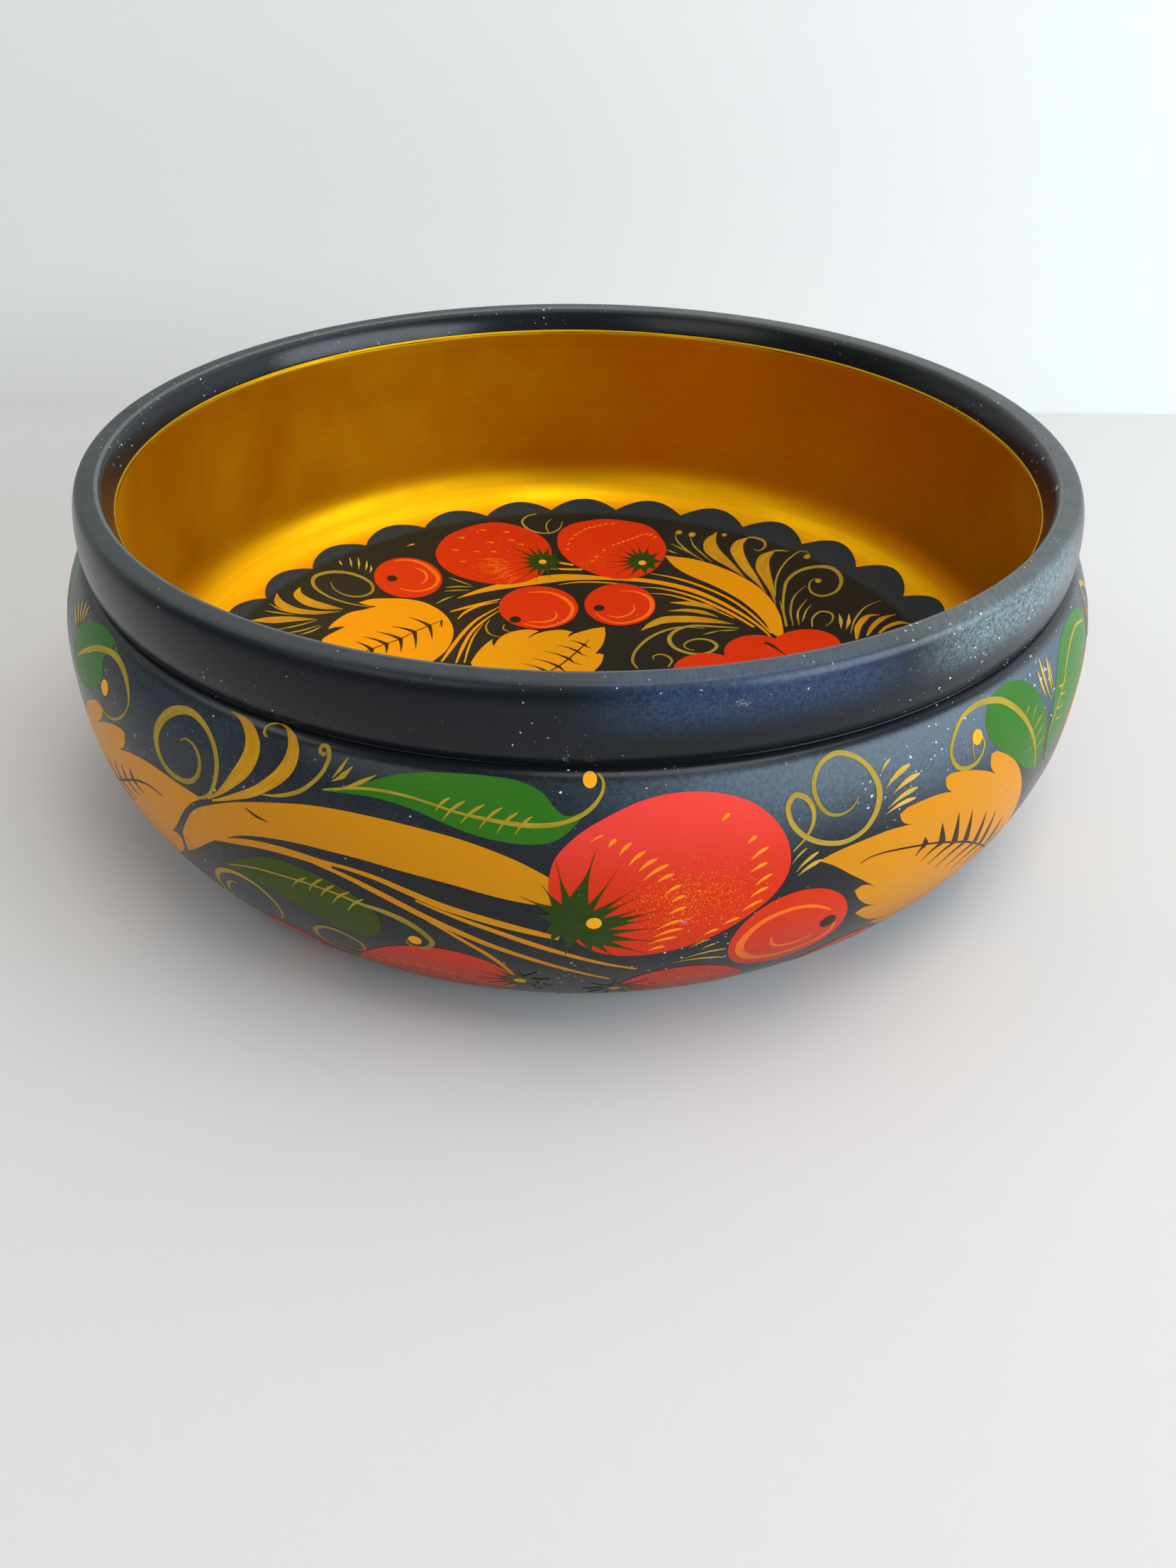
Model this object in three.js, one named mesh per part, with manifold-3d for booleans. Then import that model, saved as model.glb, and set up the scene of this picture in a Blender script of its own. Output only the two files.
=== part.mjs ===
// A wide turned bowl of lime wood with a rolled rim. It is black lacquered outside, lined with gold lacquer,
// and has a black scalloped roundel on the floor. Sizes are in millimetres and +Z is up.
// The origin is the middle of the foot's underside, on the table.
import * as THREE from 'three';
import { mergeVertices } from 'three/addons/utils/BufferGeometryUtils.js';
import Module from 'manifold-3d';

// Overall
const height = 100;
const rimRadius = 140; // the rolled rim at its widest

// Rolled rim, measured down from the top and in from the rim's radius
const rollDrop = 12; // down to the widest place of the roll
const rimShoulder = 3; // how far in the flat top starts
const rimTopWidth = 4.5; // the flat top's width
const lipReach = 3.2; // how far the lip reaches in past the flat top
const lipDrop = 8.2; // down to the edge of the gold
const creaseDrop = 19.1; // down to the crease under the roll
const creaseDepth = 2;
const shoulderReach = 4; // from the crease out to where the belly's curve begins
const shoulderDrop = 2.2;

// Belly and foot
const bellyOverhang = 8.4; // how far the belly stands out past the rim
const bellyHeight = 52.2; // the widest place above the table
const bellyUpperBend = 2.656;
const bellyLowerBend = 2.293;
const footInset = 24.2; // how far the foot's edge lies in from the belly
const landWidth = 12; // the flat ring that the bowl stands on
const recessDepth = 3;

// Inside
const wallThickness = 14.5; // at the widest place
const floorThickness = 9.2;
const cornerRadius = 16; // between the floor and the wall
const dishSlope = THREE.MathUtils.degToRad(15); // of the floor where the corner begins
const dishBend = 2.77;

// Coats
const blackCoat = 0.6;
const goldCoat = 0.6;
const ground = 0.3; // the filler between the wood and a coat, and between one coat and the next
const bareFoot = 0.6; // the black coat stops this far above the table

// Roundel on the floor
const roundelCoat = 0.5;
const roundelInset = 6.6; // from the inside's widest place to the scallops' tops
const scallopDepth = 5.5;
const scallops = 29;
const scallopTurn = THREE.MathUtils.degToRad(3.7); // of the first scallop's middle from +X

// How finely curves are divided
const sectors = 60;
const scallopSteps = 3; // an arc gets twice as many

// Values that follow from the sizes
const bellyRadius = rimRadius + bellyOverhang;
const footRadius = bellyRadius - footInset;
const recessRadius = footRadius - landWidth;
const topOuter = rimRadius - rimShoulder;
const topInner = topOuter - rimTopWidth;
const lipRadius = topInner - lipReach;
const lipHeight = height - lipDrop;
const creaseRadius = rimRadius - creaseDepth;
const creaseHeight = height - creaseDrop;
const insideRadius = bellyRadius - wallThickness;
const dishRadius = insideRadius - cornerRadius * (1 - Math.sin(dishSlope));
const dishRise = Math.tan(dishSlope) * dishRadius / dishBend;
const floorHeight = recessDepth + floorThickness;
const cornerHeight = floorHeight + dishRise + cornerRadius * Math.cos(dishSlope);
const underBlack = blackCoat + ground;
const underGold = goldCoat + ground;

const point = (radius, z) => new THREE.Vector2(radius, z);

// Points of a curve: steps + 1 of them, from the function's value at 0 to its value at 1.
function curve(steps, at) {
  return Array.from({ length: steps + 1 }, (_, i) => at(i / steps));
}

// The belly below its widest place, as radius at a height.
function lowerBelly(z) {
  return bellyRadius - footInset * ((bellyHeight - z) / bellyHeight) ** bellyLowerBend;
}

// The belly above its widest place. It leans in by what is left after the shoulder at the crease.
function upperBelly(z) {
  const shoulderHeight = creaseHeight - shoulderDrop;
  const lean = bellyRadius - creaseRadius - shoulderReach;
  return bellyRadius - lean * ((z - bellyHeight) / (shoulderHeight - bellyHeight)) ** bellyUpperBend;
}

// The floor's dish, as a height at a radius.
function dish(radius) {
  return floorHeight + dishRise * (radius / dishRadius) ** dishBend;
}

// The finished surface outside, from a height near the table up over the rim to the edge of the gold.
function outside(lowest) {
  const shoulderHeight = creaseHeight - shoulderDrop;
  const shoulder = new THREE.QuadraticBezierCurve(
    point(creaseRadius + shoulderReach, shoulderHeight),
    point(creaseRadius + shoulderReach * 0.65, creaseHeight),
    point(creaseRadius, creaseHeight),
  );
  const lip = new THREE.QuadraticBezierCurve(
    point(topInner, height),
    point(lipRadius + lipReach * 0.3, height - lipDrop * 0.4),
    point(lipRadius, lipHeight),
  );
  const quarter = Math.PI / 2;
  const rollHeight = height - rollDrop;
  return [
    ...curve(9, (t) => {
      const z = THREE.MathUtils.lerp(lowest, bellyHeight, t);
      return point(lowerBelly(z), z);
    }),
    ...curve(4, (t) => {
      const z = THREE.MathUtils.lerp(bellyHeight, shoulderHeight, t);
      return point(upperBelly(z), z);
    }).slice(1),
    ...curve(2, (t) => shoulder.getPoint(t)).slice(1),
    ...curve(3, (t) => point(
      creaseRadius + creaseDepth * Math.sin(t * quarter),
      rollHeight - (creaseDrop - rollDrop) * Math.cos(t * quarter),
    )).slice(1),
    ...curve(4, (t) => point(
      topOuter + rimShoulder * Math.cos(t * quarter),
      rollHeight + rollDrop * Math.sin(t * quarter),
    )).slice(1),
    ...curve(3, (t) => lip.getPoint(t)),
  ];
}

// The finished surface inside, from a height near the edge of the gold down to the middle of the floor.
function inside(highest) {
  const cornerMiddle = insideRadius - cornerRadius;
  const cornerTurn = Math.PI / 2 - dishSlope;
  return [
    ...curve(4, (t) => {
      const z = THREE.MathUtils.lerp(highest, cornerHeight, t);
      const lean = (z - cornerHeight) / (lipHeight - cornerHeight);
      return point(insideRadius - (insideRadius - lipRadius) * lean ** 2, z);
    }),
    ...curve(4, (t) => point(
      cornerMiddle + cornerRadius * Math.cos(t * cornerTurn),
      cornerHeight - cornerRadius * Math.sin(t * cornerTurn),
    )).slice(1),
    ...curve(5, (t) => {
      const radius = dishRadius * (1 - t);
      return point(radius, dish(radius));
    }).slice(1),
  ];
}

// A profile moved sideways into the wood by a depth. Profiles run with the wood on their left.
function sunk(profile, depth) {
  const last = profile.length - 1;
  const left = (from, to) => {
    const along = to.clone().sub(from).normalize();
    return point(-along.y, along.x);
  };
  return profile.map((here, i) => {
    const before = left(profile[Math.max(i - 1, 0)], profile[Math.max(i, 1)]);
    const after = left(profile[Math.min(i, last - 1)], profile[Math.min(i + 1, last)]);
    const sum = before.clone().add(after);
    const moved = here.clone().addScaledVector(sum, depth / (1 + before.dot(after)));
    return here.x === 0 ? point(0, moved.y) : moved;
  });
}

// Turns a profile about the upright axis. A profile starts and ends on the axis, or ends where it starts.
function turned(profile) {
  return new THREE.LatheGeometry(profile, sectors).rotateX(Math.PI / 2);
}

// A coat that follows a stretch of the finished surface, a given thickness deep.
function coat(profile, thickness) {
  const back = sunk(profile, thickness).reverse();
  const onAxis = profile[profile.length - 1].x === 0;
  return turned(onAxis ? [...back, ...profile] : [...profile, ...back, profile[0].clone()]);
}

// The roundel's outline: a ring of arcs that meet in notches.
function scallopedOutline() {
  const half = Math.PI / scallops;
  const top = insideRadius - roundelInset;
  const notch = top - scallopDepth;
  const halfChord = notch * Math.sin(half);
  const rise = top - notch * Math.cos(half);
  const arcRadius = (halfChord ** 2 + rise ** 2) / (2 * rise);
  const middle = top - arcRadius;
  const reach = Math.atan2(halfChord, notch * Math.cos(half) - middle);
  const outline = new THREE.Shape();
  for (let i = 0; i < scallops; i += 1) {
    const angle = scallopTurn + 2 * half * i;
    const x = middle * Math.cos(angle);
    const y = middle * Math.sin(angle);
    outline.absarc(x, y, arcRadius, angle - reach, angle + reach, false);
  }
  return outline;
}

const wasm = await Module();
wasm.setup();

// A geometry as a solid that can be cut, with its shared vertices merged.
function solid(geometry) {
  const bare = geometry.index ? geometry : mergeVertices(geometry);
  bare.deleteAttribute('normal');
  bare.deleteAttribute('uv');
  const merged = mergeVertices(bare);
  return new wasm.Manifold(new wasm.Mesh({
    numProp: 3,
    vertProperties: new Float32Array(merged.attributes.position.array),
    triVerts: new Uint32Array(merged.index.array),
  }));
}

// A cut solid as a geometry again.
function geometryOf(body) {
  const mesh = body.getMesh();
  const geometry = new THREE.BufferGeometry();
  geometry.setAttribute('position', new THREE.BufferAttribute(mesh.vertProperties, 3));
  geometry.setIndex(new THREE.BufferAttribute(mesh.triVerts, 1));
  geometry.computeVertexNormals();
  return geometry;
}

const bowl = new THREE.Group();

function add(name, geometry, color, roughness, metalness) {
  const mesh = new THREE.Mesh(geometry, new THREE.MeshStandardMaterial({ color, roughness, metalness }));
  mesh.name = name;
  bowl.add(mesh);
}

// The bowl itself, turned from one block, as the coats leave it.
const woodOutside = sunk(outside(0), underBlack);
const woodInside = sunk(inside(lipHeight), underGold);
const recessCeiling = recessDepth + underBlack;
add('turned_bowl', turned([
  point(0, recessCeiling),
  point(recessRadius, recessCeiling),
  point(recessRadius, 0),
  point(woodOutside[0].x, 0),
  ...woodOutside,
  ...woodInside.slice(1),
]), 0xc89b62, 0.7, 0);

// Black lacquer from just above the table, over the rim and down to the edge of the gold.
add('outer_lacquer', coat(outside(bareFoot), blackCoat), 0x14171b, 0.28, 0);

// Gold lacquer on the wall and the floor.
add('gold_lining', coat(inside(lipHeight - ground), goldCoat), 0xc8860d, 0.3, 0.8);

// The black roundel lies on the gold, and its scallops climb the foot of the wall.
const roundelReach = insideRadius - roundelInset + 1;
const overFloor = sunk(inside(lipHeight).filter((p) => p.x < roundelReach), -ground);
const roundelTop = sunk(overFloor, -roundelCoat);
const sheet = turned([...overFloor.reverse(), ...roundelTop]);
const prism = new THREE.ExtrudeGeometry(scallopedOutline(), {
  depth: cornerHeight,
  bevelEnabled: false,
  curveSegments: scallopSteps,
});
add('floor_medallion', geometryOf(solid(sheet).intersect(solid(prism))), 0x0f1114, 0.3, 0);

// Black lacquer on the ceiling of the shallow recess under the foot.
const baseRadius = recessRadius - ground;
add('base_lacquer', turned([
  point(0, recessDepth),
  point(baseRadius, recessDepth),
  point(baseRadius, recessDepth + blackCoat),
  point(0, recessDepth + blackCoat),
]), 0x14171b, 0.35, 0);

export default bowl;
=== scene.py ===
# %% [markdown]
# A turned wooden bowl with painted lacquer
#
# The bowl is one block of lime wood turned on a lathe, then primed, lacquered black outside, lined with metal
# powder under amber lacquer, and painted with berries, leaves and grasses. This lesson dresses the packed
# model of it: every coat becomes a fine surface of revolution, and every brush stroke becomes a thin film of
# paint that follows the surface. Sizes are in millimetres up to the point where a mesh is made.

# %% The imported model
import math

import bpy
import numpy as np
from mathutils import Matrix, Vector
from mathutils.geometry import delaunay_2d_cdt


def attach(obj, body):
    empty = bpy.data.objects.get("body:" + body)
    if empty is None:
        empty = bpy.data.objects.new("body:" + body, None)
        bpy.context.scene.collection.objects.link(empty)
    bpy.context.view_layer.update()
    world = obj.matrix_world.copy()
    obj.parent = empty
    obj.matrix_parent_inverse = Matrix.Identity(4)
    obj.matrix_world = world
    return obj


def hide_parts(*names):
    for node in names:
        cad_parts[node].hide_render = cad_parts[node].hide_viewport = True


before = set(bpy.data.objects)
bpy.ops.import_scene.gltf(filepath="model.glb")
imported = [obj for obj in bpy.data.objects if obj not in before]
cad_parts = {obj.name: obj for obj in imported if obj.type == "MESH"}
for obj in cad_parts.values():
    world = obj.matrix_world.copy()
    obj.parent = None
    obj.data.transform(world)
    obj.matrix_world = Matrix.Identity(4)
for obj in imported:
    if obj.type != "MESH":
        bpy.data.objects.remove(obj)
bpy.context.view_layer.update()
MM = 0.001

# %% [markdown]
# The sizes of the turned shape
#
# A turner works from a half section: a line that is spun about the axis. The section here has a belly that
# swells over a small foot, a crease, a rolled rim with a narrow flat on top, a wall that leans out below the
# lip, a round corner and a dished floor. The numbers are the same as the solid model's, so that the fine
# surfaces lie where the solid ones are.

# %% Sizes of the half section
rim_radius = 140.0
height = 100.0
roll_drop, rim_shoulder, rim_flat = 12.0, 3.0, 4.5
lip_reach, lip_drop = 3.2, 8.2
crease_drop, crease_depth = 19.1, 2.0
shoulder_reach, shoulder_drop = 4.0, 2.2
belly_radius, belly_height = rim_radius + 8.4, 52.2
upper_bend, lower_bend = 2.656, 2.293
foot_radius = belly_radius - 24.2
recess_radius, recess_depth = foot_radius - 12.0, 3.0
inside_radius = belly_radius - 14.5
floor_height, corner_radius = recess_depth + 9.2, 16.0
dish_slope, dish_bend = math.radians(15), 2.77
coat_thickness, filler = 0.6, 0.3
bare_foot = 0.6  # the black coat stops this far above the table

crease_radius, crease_height = rim_radius - crease_depth, height - crease_drop
shoulder_height = crease_height - shoulder_drop
roll_height = height - roll_drop
flat_outer = rim_radius - rim_shoulder
flat_inner = flat_outer - rim_flat
lip_radius, lip_height = flat_inner - lip_reach, height - lip_drop
dish_radius = inside_radius - corner_radius * (1 - math.sin(dish_slope))
dish_rise = math.tan(dish_slope) * dish_radius / dish_bend
corner_height = floor_height + dish_rise + corner_radius * math.cos(dish_slope)
print("belly", 2 * belly_radius, "mm across, foot", 2 * foot_radius, "mm across")

# %% The half section outside


def bezier(a, b, c, steps):
    """Points of the curve from a to c that b pulls towards itself: a (1-t)^2 + 2 b t (1-t) + c t^2."""
    t = np.linspace(0, 1, steps)[:, None]
    return (1 - t) ** 2 * np.array(a) + 2 * t * (1 - t) * np.array(b) + t ** 2 * np.array(c)


def belly_section(lowest, detail=1.0):
    """Radius and height up the outside to the crease. Below the widest place the radius falls off with a
    power of the share of the height that is left, and above it with another power."""
    low = np.linspace(lowest, belly_height, int(44 * detail))
    high = np.linspace(belly_height, shoulder_height, int(26 * detail))
    lean = belly_radius - crease_radius - shoulder_reach
    below = belly_radius - (belly_radius - foot_radius) * ((belly_height - low) / belly_height) ** lower_bend
    share = (high - belly_height) / (shoulder_height - belly_height)
    above = belly_radius - lean * share ** upper_bend
    shoulder = bezier((crease_radius + shoulder_reach, shoulder_height),
                      (crease_radius + shoulder_reach * 0.65, crease_height),
                      (crease_radius, crease_height), max(int(8 * detail), 3))
    return np.vstack([np.c_[below, low], np.c_[above, high][1:], shoulder[1:]])


def rim_section(detail=1.0):
    """Radius and height over the rim: two quarter ellipses, a flat, and a curve down to the gold's edge."""
    t = np.linspace(0, math.pi / 2, int(14 * detail))[:, None]
    under = np.hstack([crease_radius + crease_depth * np.sin(t),
                       roll_height - (crease_drop - roll_drop) * np.cos(t)])
    over = np.hstack([flat_outer + rim_shoulder * np.cos(t), roll_height + roll_drop * np.sin(t)])
    flat = np.c_[np.linspace(flat_outer, flat_inner, 5), np.full(5, height)]
    lip = bezier((flat_inner, height), (lip_radius + lip_reach * 0.3, height - lip_drop * 0.4),
                 (lip_radius, lip_height), int(10 * detail))
    return np.vstack([under[1:], over[1:], flat[1:], lip[1:]])


print("points up the outside:", len(belly_section(bare_foot)) + len(rim_section()))

# %% The half section inside, and a line moved into the wood


def inside_section(highest, detail=1.0):
    """Radius and height down the wall, round the corner's arc and along the dish to the axis."""
    z = np.linspace(highest, corner_height, int(30 * detail))
    share = (z - corner_height) / (lip_height - corner_height)
    wall = np.c_[inside_radius - (inside_radius - lip_radius) * share ** 2, z]
    turn = np.linspace(0, math.pi / 2 - dish_slope, int(20 * detail))
    corner = np.c_[inside_radius - corner_radius + corner_radius * np.cos(turn),
                   corner_height - corner_radius * np.sin(turn)]
    r = dish_radius * np.linspace(1, 0, int(36 * detail))
    dish = np.c_[r, floor_height + dish_rise * (r / dish_radius) ** dish_bend]
    return np.vstack([wall, corner[1:], dish[1:]])


def sunk(section, depth):
    """A section moved by a depth to the left of its direction, which is into the wood."""
    way = np.gradient(section, axis=0)
    way /= np.linalg.norm(way, axis=1)[:, None]
    moved = section + depth * np.c_[-way[:, 1], way[:, 0]]
    moved[section[:, 0] == 0, 0] = 0
    return moved


print("points down the inside:", len(inside_section(lip_height)))

# %% [markdown]
# Spinning a section into a closed skin
#
# Blender's Spin or Screw tool would do, but a grid worked out in numpy says exactly where the seam closes and
# where a pole is one single point. A section that begins and ends on the axis gives a body with two poles,
# and a section that comes back to its own start gives a ring. The lathe never runs quite true, so the outer
# coat gets a waviness of a few hundredths of a millimetre, which makes long reflections look hand made.

# %% How finely the round shapes are divided
SECTORS = 512
FEW_SECTORS = 256  # for the wood and the base, which hardly show
print("a sector of the fine skins is", round(2 * math.pi * belly_radius / SECTORS, 2), "mm wide at the belly")

# %% A mesh from points and faces


def mesh_piece(name, points, faces, material, replaces=None, uv=None, stroke=None):
    """Makes an object from points in millimetres and rows of corner numbers, with its place in its mesh."""
    mesh = bpy.data.meshes.new(name)
    corners = np.concatenate([np.asarray(f, np.int32).ravel() for f in faces])
    sides = np.concatenate([np.full(len(f), np.asarray(f).shape[1], np.int32) for f in faces])
    mesh.vertices.add(len(points))
    mesh.vertices.foreach_set("co", (np.asarray(points) * MM).astype(np.float32).ravel())
    mesh.loops.add(len(corners))
    mesh.loops.foreach_set("vertex_index", corners)
    mesh.polygons.add(len(sides))
    mesh.polygons.foreach_set("loop_start", np.r_[0, np.cumsum(sides)[:-1]].astype(np.int32))
    mesh.polygons.foreach_set("loop_total", sides)
    if uv is not None:
        layer = mesh.uv_layers.new(name="along_the_stroke")
        layer.data.foreach_set("uv", uv[corners].astype(np.float32).ravel())
    if stroke is not None:
        shade = mesh.attributes.new("stroke", "FLOAT_COLOR", "POINT")
        shade.data.foreach_set("color", np.c_[stroke, np.ones(len(stroke))].astype(np.float32).ravel())
    mesh.update(calc_edges=True)
    mesh.validate()
    mesh.shade_smooth()
    mesh.materials.append(material)
    piece = bpy.data.objects.new(name, mesh)
    bpy.context.scene.collection.objects.link(piece)
    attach(piece, "root")
    if replaces:
        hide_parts(replaces)
    print(name, "has", int((sides - 2).sum()), "triangles")
    return piece


print("points in millimetres are multiplied by", MM)

# %% Closed skins and surfaces of revolution


def closed(rows, poles=None):
    """Points and faces of a body whose skin is rows of points round the axis. Without poles the last row
    joins the first; with two poles, each end row closes in a fan on its pole."""
    count, sectors = rows.shape[:2]
    points = rows.reshape(-1, 3)
    index = np.arange(count * sectors).reshape(count, sectors)
    here, up = (index, np.roll(index, -1, 0)) if poles is None else (index[:-1], index[1:])
    quads = np.stack([here, np.roll(here, -1, 1), np.roll(up, -1, 1), up], -1).reshape(-1, 4)
    if poles is None:
        return points, [quads]
    first, last = len(points), len(points) + 1
    start = np.stack([np.full(sectors, first), np.roll(index[0], -1), index[0]], -1)
    end = np.stack([np.full(sectors, last), index[-1], np.roll(index[-1], -1)], -1)
    return np.vstack([points, poles]), [quads, np.vstack([start, end])]


def spun(section, sectors, ring=False):
    """Points and faces of a section spun about the upright axis. section is rows of (radius, height), or one
    such row for each sector. A ring joins its last row to its first; otherwise both ends are poles."""
    section = np.asarray(section, float)
    if section.ndim == 2:
        section = np.repeat(section[:, None, :], sectors, axis=1)
    rows = section if ring else section[1:-1]
    angle = np.linspace(0, 2 * math.pi, sectors, endpoint=False)
    points = np.stack([rows[..., 0] * np.cos(angle), rows[..., 0] * np.sin(angle), rows[..., 1]], -1)
    return closed(points, None if ring else [[0, 0, section[0, 0, 1]], [0, 0, section[-1, 0, 1]]])


def wavy(section, sectors, amount, seed):
    """A section repeated for each sector, with its radius drawn in a little by a sum of slow waves round the
    bowl."""
    rng = np.random.default_rng(seed)
    angle = np.linspace(0, 2 * math.pi, sectors, endpoint=False)
    waves = sum(rng.uniform(0.3, 1) / k * np.cos(k * angle + rng.uniform(0, 6.3)) for k in range(2, 9))
    lift = np.outer(np.sin(np.linspace(0, 3, len(section))) ** 2, waves) * amount
    rows = np.repeat(np.asarray(section)[:, None, :], sectors, axis=1)
    rows[..., 0] -= np.abs(lift)
    return rows


print("a small ring has", len(spun([(5, 0), (6, 0), (6, 1)], 12, ring=True)[0]), "points")

# %% [markdown]
# Small helpers for shader nodes
#
# Materials are built from nodes by name. One helper puts a node down and wires its inputs in the same breath,
# so that a material reads from top to bottom like a recipe. Lengths in a material are metres, as Blender has
# them.

# %% Nodes and sums


def put(tree, kind, inputs=None, **settings):
    """Adds a shader node. inputs maps a socket's name or number to a value or to another node's output."""
    node = tree.nodes.new("ShaderNode" + kind)
    for key, value in settings.items():
        setattr(node, key, value)
    for key, value in (inputs or {}).items():
        if isinstance(value, bpy.types.NodeSocket):
            tree.links.new(value, node.inputs[key])
        else:
            node.inputs[key].default_value = value
    return node


def calc(tree, operation, a, b=0.0):
    """One Math node's output."""
    return put(tree, "Math", {0: a, 1: b}, operation=operation).outputs[0]


def times(tree, a, b):
    """Two values multiplied."""
    return calc(tree, "MULTIPLY", a, b)


def plus(tree, a, b):
    """Two values added."""
    return calc(tree, "ADD", a, b)


print("helpers: put, calc, times and plus")

# %% Fades, mixes and patterns


def fade(tree, value, low, high, to_low=0.0, to_high=1.0):
    """A smooth step: to_low at low, to_high at high. Low may be the larger of the two."""
    settings = {"Value": value, "From Min": low, "From Max": high, "To Min": to_low, "To Max": to_high}
    return put(tree, "MapRange", settings, interpolation_type="SMOOTHSTEP").outputs[0]


def mix(tree, factor, a, b):
    """A colour between a and b."""
    return put(tree, "Mix", {0: factor, 6: a, 7: b}, data_type="RGBA").outputs[2]


def noise(tree, where, scale, detail=3.0, rough=0.5):
    """A Noise Texture's value at a place."""
    return put(tree, "TexNoise", {"Vector": where, "Scale": scale, "Detail": detail,
                                  "Roughness": rough}).outputs["Fac"]


def jittered(tree, where, scale, reach):
    """A place pushed about by noise, so that what is drawn there gets a ragged outline."""
    push = put(tree, "TexNoise", {"Vector": where, "Scale": scale, "Detail": 2.0}).outputs["Color"]
    push = put(tree, "VectorMath", {0: push, "Scale": reach}, operation="SCALE").outputs[0]
    return put(tree, "VectorMath", {0: where, 1: push}, operation="ADD").outputs[0]


def scattered_cells(tree, where, scale, channel, power):
    """Cells scattered at random: the distance from each one's middle, and a size for each. A high power
    leaves only a few of them large."""
    made = put(tree, "TexVoronoi", {"Vector": where, "Scale": scale, "Randomness": 1.0})
    shade = put(tree, "SeparateColor", {0: made.outputs["Color"]}).outputs[channel]
    return made.outputs["Distance"], calc(tree, "POWER", shade, power)


def emboss(tree, shader, relief, strength, distance):
    """Tilts a shader's normal by the slope of a height."""
    bump = put(tree, "Bump", {"Height": relief, "Strength": strength, "Distance": distance})
    tree.links.new(bump.outputs[0], shader.inputs["Normal"])


print("helpers: fade, mix, noise, jittered, scattered_cells and emboss")

# %% Groups and materials


def group(name, inputs, outputs):
    """A new shader node group with float or vector inputs and named outputs, and its two end nodes."""
    tree = bpy.data.node_groups.new(name, "ShaderNodeTree")
    for label, kind, value in inputs:
        socket = tree.interface.new_socket(name=label, in_out="INPUT", socket_type="NodeSocket" + kind)
        if kind == "Float":
            socket.default_value = value
    for label, kind in outputs:
        tree.interface.new_socket(name=label, in_out="OUTPUT", socket_type="NodeSocket" + kind)
    return tree, tree.nodes.new("NodeGroupInput"), tree.nodes.new("NodeGroupOutput")


def use(tree, made, inputs):
    """Places a node group in a material."""
    return put(tree, "Group", inputs, node_tree=made)


def material(name):
    """A new material with its Principled shader and the object's own coordinates."""
    made = bpy.data.materials.new(name)
    made.use_nodes = True
    tree = made.node_tree
    shader = tree.nodes["Principled BSDF"]
    place = tree.nodes.new("ShaderNodeTexCoord").outputs["Object"]
    return made, tree, shader, place


print("helpers: group, use and material")

# %% [markdown]
# Dust, scratches, lathe marks and worn edges
#
# The bowl has stood in a kitchen for years. White specks of dust and dried splashes sit on the lacquer, a
# grey film lies where the belly faces up, and fine scratches run every way. On the black that film also holds
# a painted reflection of the window. The coats and paints share these, so each effect is a node group that
# is built once and placed with its own amounts.

# %% Dust, splashes and scratches
dust, dust_in, dust_out = group(
    "dust_and_scratches",
    [("Place", "Vector", None), ("Specks", "Float", 0.5), ("Film", "Float", 0.5),
     ("Scratches", "Float", 0.5)],
    [("Specks", "Float"), ("Film", "Float"), ("Scratches", "Float")],
)
at = dust_in.outputs["Place"]
grain_away, grain_size = scattered_cells(dust, jittered(dust, at, 1300.0, 0.0009), 1250.0, 0, 14.0)
grain_reach = times(dust, times(dust, grain_size, 0.42), dust_in.outputs["Specks"])
patchy = fade(dust, noise(dust, at, 26.0, 4.0, 0.6), 0.42, 0.66)
grain_reach = times(dust, grain_reach, plus(dust, patchy, 0.35))
speck = fade(dust, calc(dust, "SUBTRACT", grain_reach, grain_away), 0.0, 0.12)
blot_away, blot_size = scattered_cells(dust, at, 62.0, 1, 22.0)
ragged = times(dust, noise(dust, at, 900.0, 4.0, 0.7), 0.22)
blot = calc(dust, "SUBTRACT", times(dust, blot_size, 0.17), blot_away)
blot = fade(dust, plus(dust, calc(dust, "SUBTRACT", blot, ragged), 0.06), 0.0, 0.06, 0.0, 0.4)
blot = times(dust, blot, dust_in.outputs["Specks"])
dust.links.new(calc(dust, "MAXIMUM", speck, blot), dust_out.inputs["Specks"])
film = times(dust, fade(dust, noise(dust, at, 9.0, 4.0, 0.5), 0.25, 0.8), dust_in.outputs["Film"])
fine = fade(dust, noise(dust, at, 1100.0, 3.0, 0.75), 0.3, 0.72, 0.62, 1.25)
dust.links.new(times(dust, film, fine), dust_out.inputs["Film"])
lines = None
for turn, stretch in ((0.5, 0.035), (1.7, 0.05), (2.6, 0.03)):
    bent = put(dust, "Mapping", {"Vector": at, "Rotation": (turn * 0.7, turn, turn * 1.9),
                                 "Scale": (1.0, stretch, 1.0)}).outputs[0]
    cell = put(dust, "TexVoronoi", {"Vector": bent, "Scale": 300.0, "Randomness": 1.0}).outputs["Distance"]
    keep = fade(dust, noise(dust, at, 60.0, 3.0), 0.48, 0.62)
    line = times(dust, fade(dust, cell, 0.075, 0.02), keep)
    lines = line if lines is None else calc(dust, "MAXIMUM", lines, line)
dust.links.new(times(dust, lines, dust_in.outputs["Scratches"]), dust_out.inputs["Scratches"])
print("dust and scratches:", len(dust.nodes), "nodes")

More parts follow.
